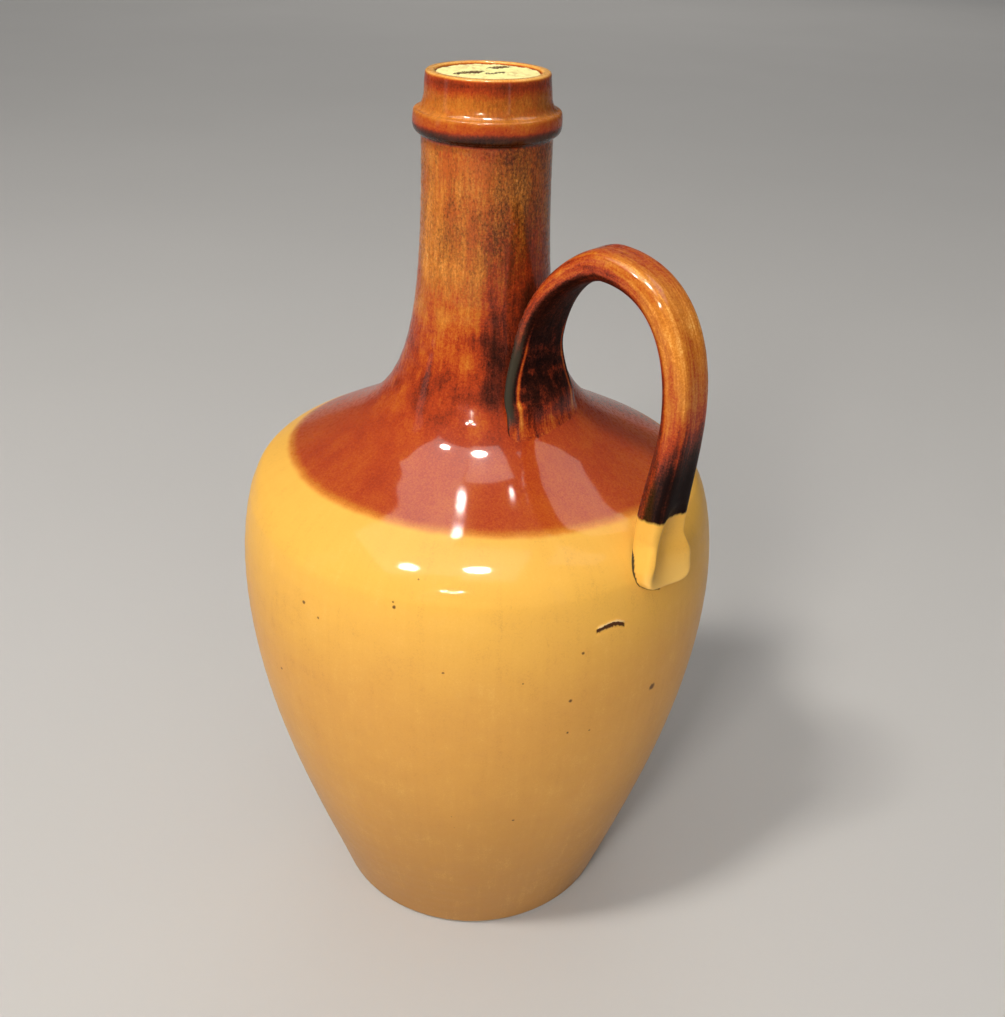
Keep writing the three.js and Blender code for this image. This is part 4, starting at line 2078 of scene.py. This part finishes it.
@dataclass(frozen=True)
class Softbox:
    """A studio lamp, placed in metres from the jug as the camera sees it: to the right, nearer and up."""

    name: str
    place: tuple[float, float, float]
    width: float
    length: float
    radiance: float
    aim: Aim = Aim.DOWN
    use: Use = Use.SHEEN
    outline: Outline = Outline.PANE
    colour: Colour = (1, 0.95, 0.89)

    def make(self, target: Vector) -> bpy.types.Object:
        """Makes the lamp.

        Args:
            target: What the lamp lights, in metres.

        Returns:
            The lamp's object.
        """
        right, nearer, up = self.place
        data = bpy.data.lights.new(self.name, "AREA")
        data.shape = self.outline.value
        data.size = self.width
        data.size_y = self.length
        data.energy = self.radiance * math.pi * self.width * self.length
        data.color = self.colour
        lamp = bpy.data.objects.new(self.name, data)
        level = facing(CAMERA_AZIMUTH) * nearer + facing(CAMERA_AZIMUTH + 90) * right
        lamp.location = level + Vector((0, 0, up))
        if self.aim is Aim.JUG:
            lamp.rotation_euler = (lamp.location - target).to_track_quat("Z", "Y").to_euler()
        else:
            lamp.rotation_euler = (0, 0, math.radians(CAMERA_AZIMUTH))
        lamp.visible_camera = False
        lamp.visible_glossy = self.use is Use.SHEEN
        lamp.visible_diffuse = self.use is Use.LIGHT
        bpy.context.scene.collection.objects.link(lamp)
        return lamp


@dataclass(frozen=True)
class Studio:
    """The pale floor, the soft lamps and the camera."""

    floor_size: float = 14.0
    floor_colour: Colour = (0.56, 0.555, 0.545)
    floor_shade: float = 0.96
    floor_cloud: Cloud = Cloud(0.004)
    floor_roughness: float = 0.75
    floor_specular: float = 0.2
    sky_low: float = 0.08
    sky_high: float = 0.28
    sky_rise: Span = (-0.1, 0.9)
    target: tuple[float, float, float] = (0, 0, 0.15)
    camera_distance: float = 273.49
    camera_height: float = 281.04
    pitch: float = 30.084
    yaw: float = 1.4172
    roll: float = 1.9528
    focal_pixels: float = 1110.0
    image_height: float = 1017.0
    sensor: float = 36.0
    clip_start: float = 0.01
    lamps: tuple[Softbox, ...] = (
        Softbox("key", (-0.55, 1.25, 0.9), 0.3, 0.3, 41.0, Aim.JUG, Use.LIGHT),
        Softbox("overhead", (-0.2, 0.0, 1.5), 1.8, 1.8, 0.15, Aim.DOWN, Use.LIGHT),
        Softbox("fill", (0.5, 1.4, 0.9), 0.8, 0.8, 1.2, Aim.JUG, Use.LIGHT),
        Softbox("spot", (-0.53, 0.445, 1.29), 0.16, 0.16, 125.0, Aim.JUG, Use.LIGHT),
        Softbox("back", (0.1, -3.2, 1.7), 2.4, 1.0, 2.4, Aim.JUG, Use.LIGHT),
        Softbox("window_left", (-1.54, 0.27, 0.68), 0.25, 1.3, 0.9, Aim.JUG),
        Softbox("window_right", (0.99, 1.26, 0.68), 0.12, 1.3, 1.2, Aim.JUG),
        Softbox("ceiling_left", (-0.49, 0.2, 1.3), 0.7, 0.8, 4.8),
        Softbox("ceiling_near", (0.1, 0.4, 1.3), 0.46, 0.58, 5.2),
        Softbox("ceiling_right", (0.8, -0.1, 1.3), 0.6, 0.9, 3.4),
        Softbox("bulb_near", (0.0, 0.46, 1.29), 0.2, 0.15, 220, outline=Outline.BULB),
        Softbox("bulb_left", (-0.53, 0.445, 1.29), 0.17, 0.13, 180, outline=Outline.BULB),
        Softbox("bulb_low_1", (-0.4, 1.32, 1.29), 0.06, 0.06, 700, outline=Outline.BULB),
        Softbox("bulb_low_2", (-0.31, 1.46, 1.29), 0.06, 0.06, 700, outline=Outline.BULB),
        Softbox("bulb_low_3", (-0.2, 1.32, 1.29), 0.06, 0.06, 700, outline=Outline.BULB),
        Softbox("bulb_top", (-0.123, 0.04, 1.29), 0.06, 0.016, 200, outline=Outline.BULB),
        Softbox("bulb_high", (-0.123, 0.008, 1.29), 0.06, 0.012, 160, outline=Outline.BULB),
        Softbox("bulb_right", (0.25, 0.02, 1.29), 0.025, 0.02, 120, outline=Outline.BULB),
    )

    def make_floor(self) -> bpy.types.Object:
        """Makes the plain pale floor.

        Returns:
            The floor's object.
        """
        mesh = bmesh.new()
        bmesh.ops.create_grid(mesh, x_segments=4, y_segments=4, size=self.floor_size / 2)
        data = bpy.data.meshes.new("floor")
        mesh.to_mesh(data)
        mesh.free()
        sheet = Sheet.material("pale_floor")
        cloud = sheet.noise(sheet.place(), self.floor_cloud).rise(-1, 1)
        shaded = tuple(self.floor_shade * part for part in self.floor_colour)
        finish = sheet.finish(
            {
                "Base Color": sheet.mix(self.floor_colour, shaded, cloud),
                "Roughness": self.floor_roughness,
                "Specular IOR Level": self.floor_specular,
            }
        )
        data.materials.append(finish)
        floor = bpy.data.objects.new("floor", data)
        bpy.context.scene.collection.objects.link(floor)
        return floor

    def make_sky(self) -> None:
        """Gives the world a plain soft grey light, darker towards the horizon."""
        world = bpy.data.worlds.new("studio")
        sheet = Sheet(world)
        direction = Signal(sheet, sheet.node("ShaderNodeTexCoord").outputs["Generated"])
        height = sheet.split(direction)[2].rise(*self.sky_rise)
        tone = sheet.mix((self.sky_low,) * 3, (self.sky_high,) * 3, height)
        backdrop = sheet.node("ShaderNodeBackground", sockets={"Color": tone})
        sheet.node("ShaderNodeOutputWorld", sockets={"Surface": Signal(sheet, backdrop.outputs[0])})
        bpy.context.scene.world = world

    def make_camera(self) -> bpy.types.Object:
        """Makes the camera at the photograph's viewing angle.

        Returns:
            The camera's object.
        """
        pitch, yaw, roll = (math.radians(angle) for angle in (self.pitch, self.yaw, self.roll))
        ahead = math.cos(pitch)
        forward = Vector((math.sin(yaw) * ahead, math.cos(yaw) * ahead, -math.sin(pitch)))
        level = forward.cross(Vector((0, 0, 1))).normalized()
        above = level.cross(forward)
        right = level * math.cos(roll) + above * math.sin(roll)
        up = above * math.cos(roll) - level * math.sin(roll)
        turn = Matrix.Rotation(math.radians(CAMERA_AZIMUTH), 4, "Z")
        pose = Matrix((right, up, -forward)).transposed().to_4x4()
        pose.translation = Vector((0, -self.camera_distance, self.camera_height)) * MILLIMETRE
        data = bpy.data.cameras.new("camera")
        data.sensor_fit = "VERTICAL"
        data.sensor_height = self.sensor
        data.lens = self.focal_pixels * self.sensor / self.image_height
        data.clip_start = self.clip_start
        camera = bpy.data.objects.new("camera", data)
        camera.matrix_world = turn @ pose
        bpy.context.scene.collection.objects.link(camera)
        bpy.context.scene.camera = camera
        return camera

    def make(self) -> None:
        """Makes the whole studio."""
        self.make_camera()
        self.make_floor()
        self.make_sky()
        for lamp in self.lamps:
            lamp.make(Vector(self.target))
        bpy.context.scene.view_settings.view_transform = "Standard"
        log.info("studio: %d lamps", len(self.lamps))


def main() -> None:
    logging.basicConfig(level=logging.INFO, format="%(name)s %(message)s")
    Studio().make()
    wall = ThrownWall.from_frame()
    wall_glaze = WallGlaze().material(wall)
    LowerBody(wall).make(wall_glaze)
    TopSection(wall).make(wall_glaze)
    StrapHandle(wall).make(StrapGlaze().material(wall))
    Cork(wall).make(CorkFinish().material())


if __name__ == "__main__":
    main()
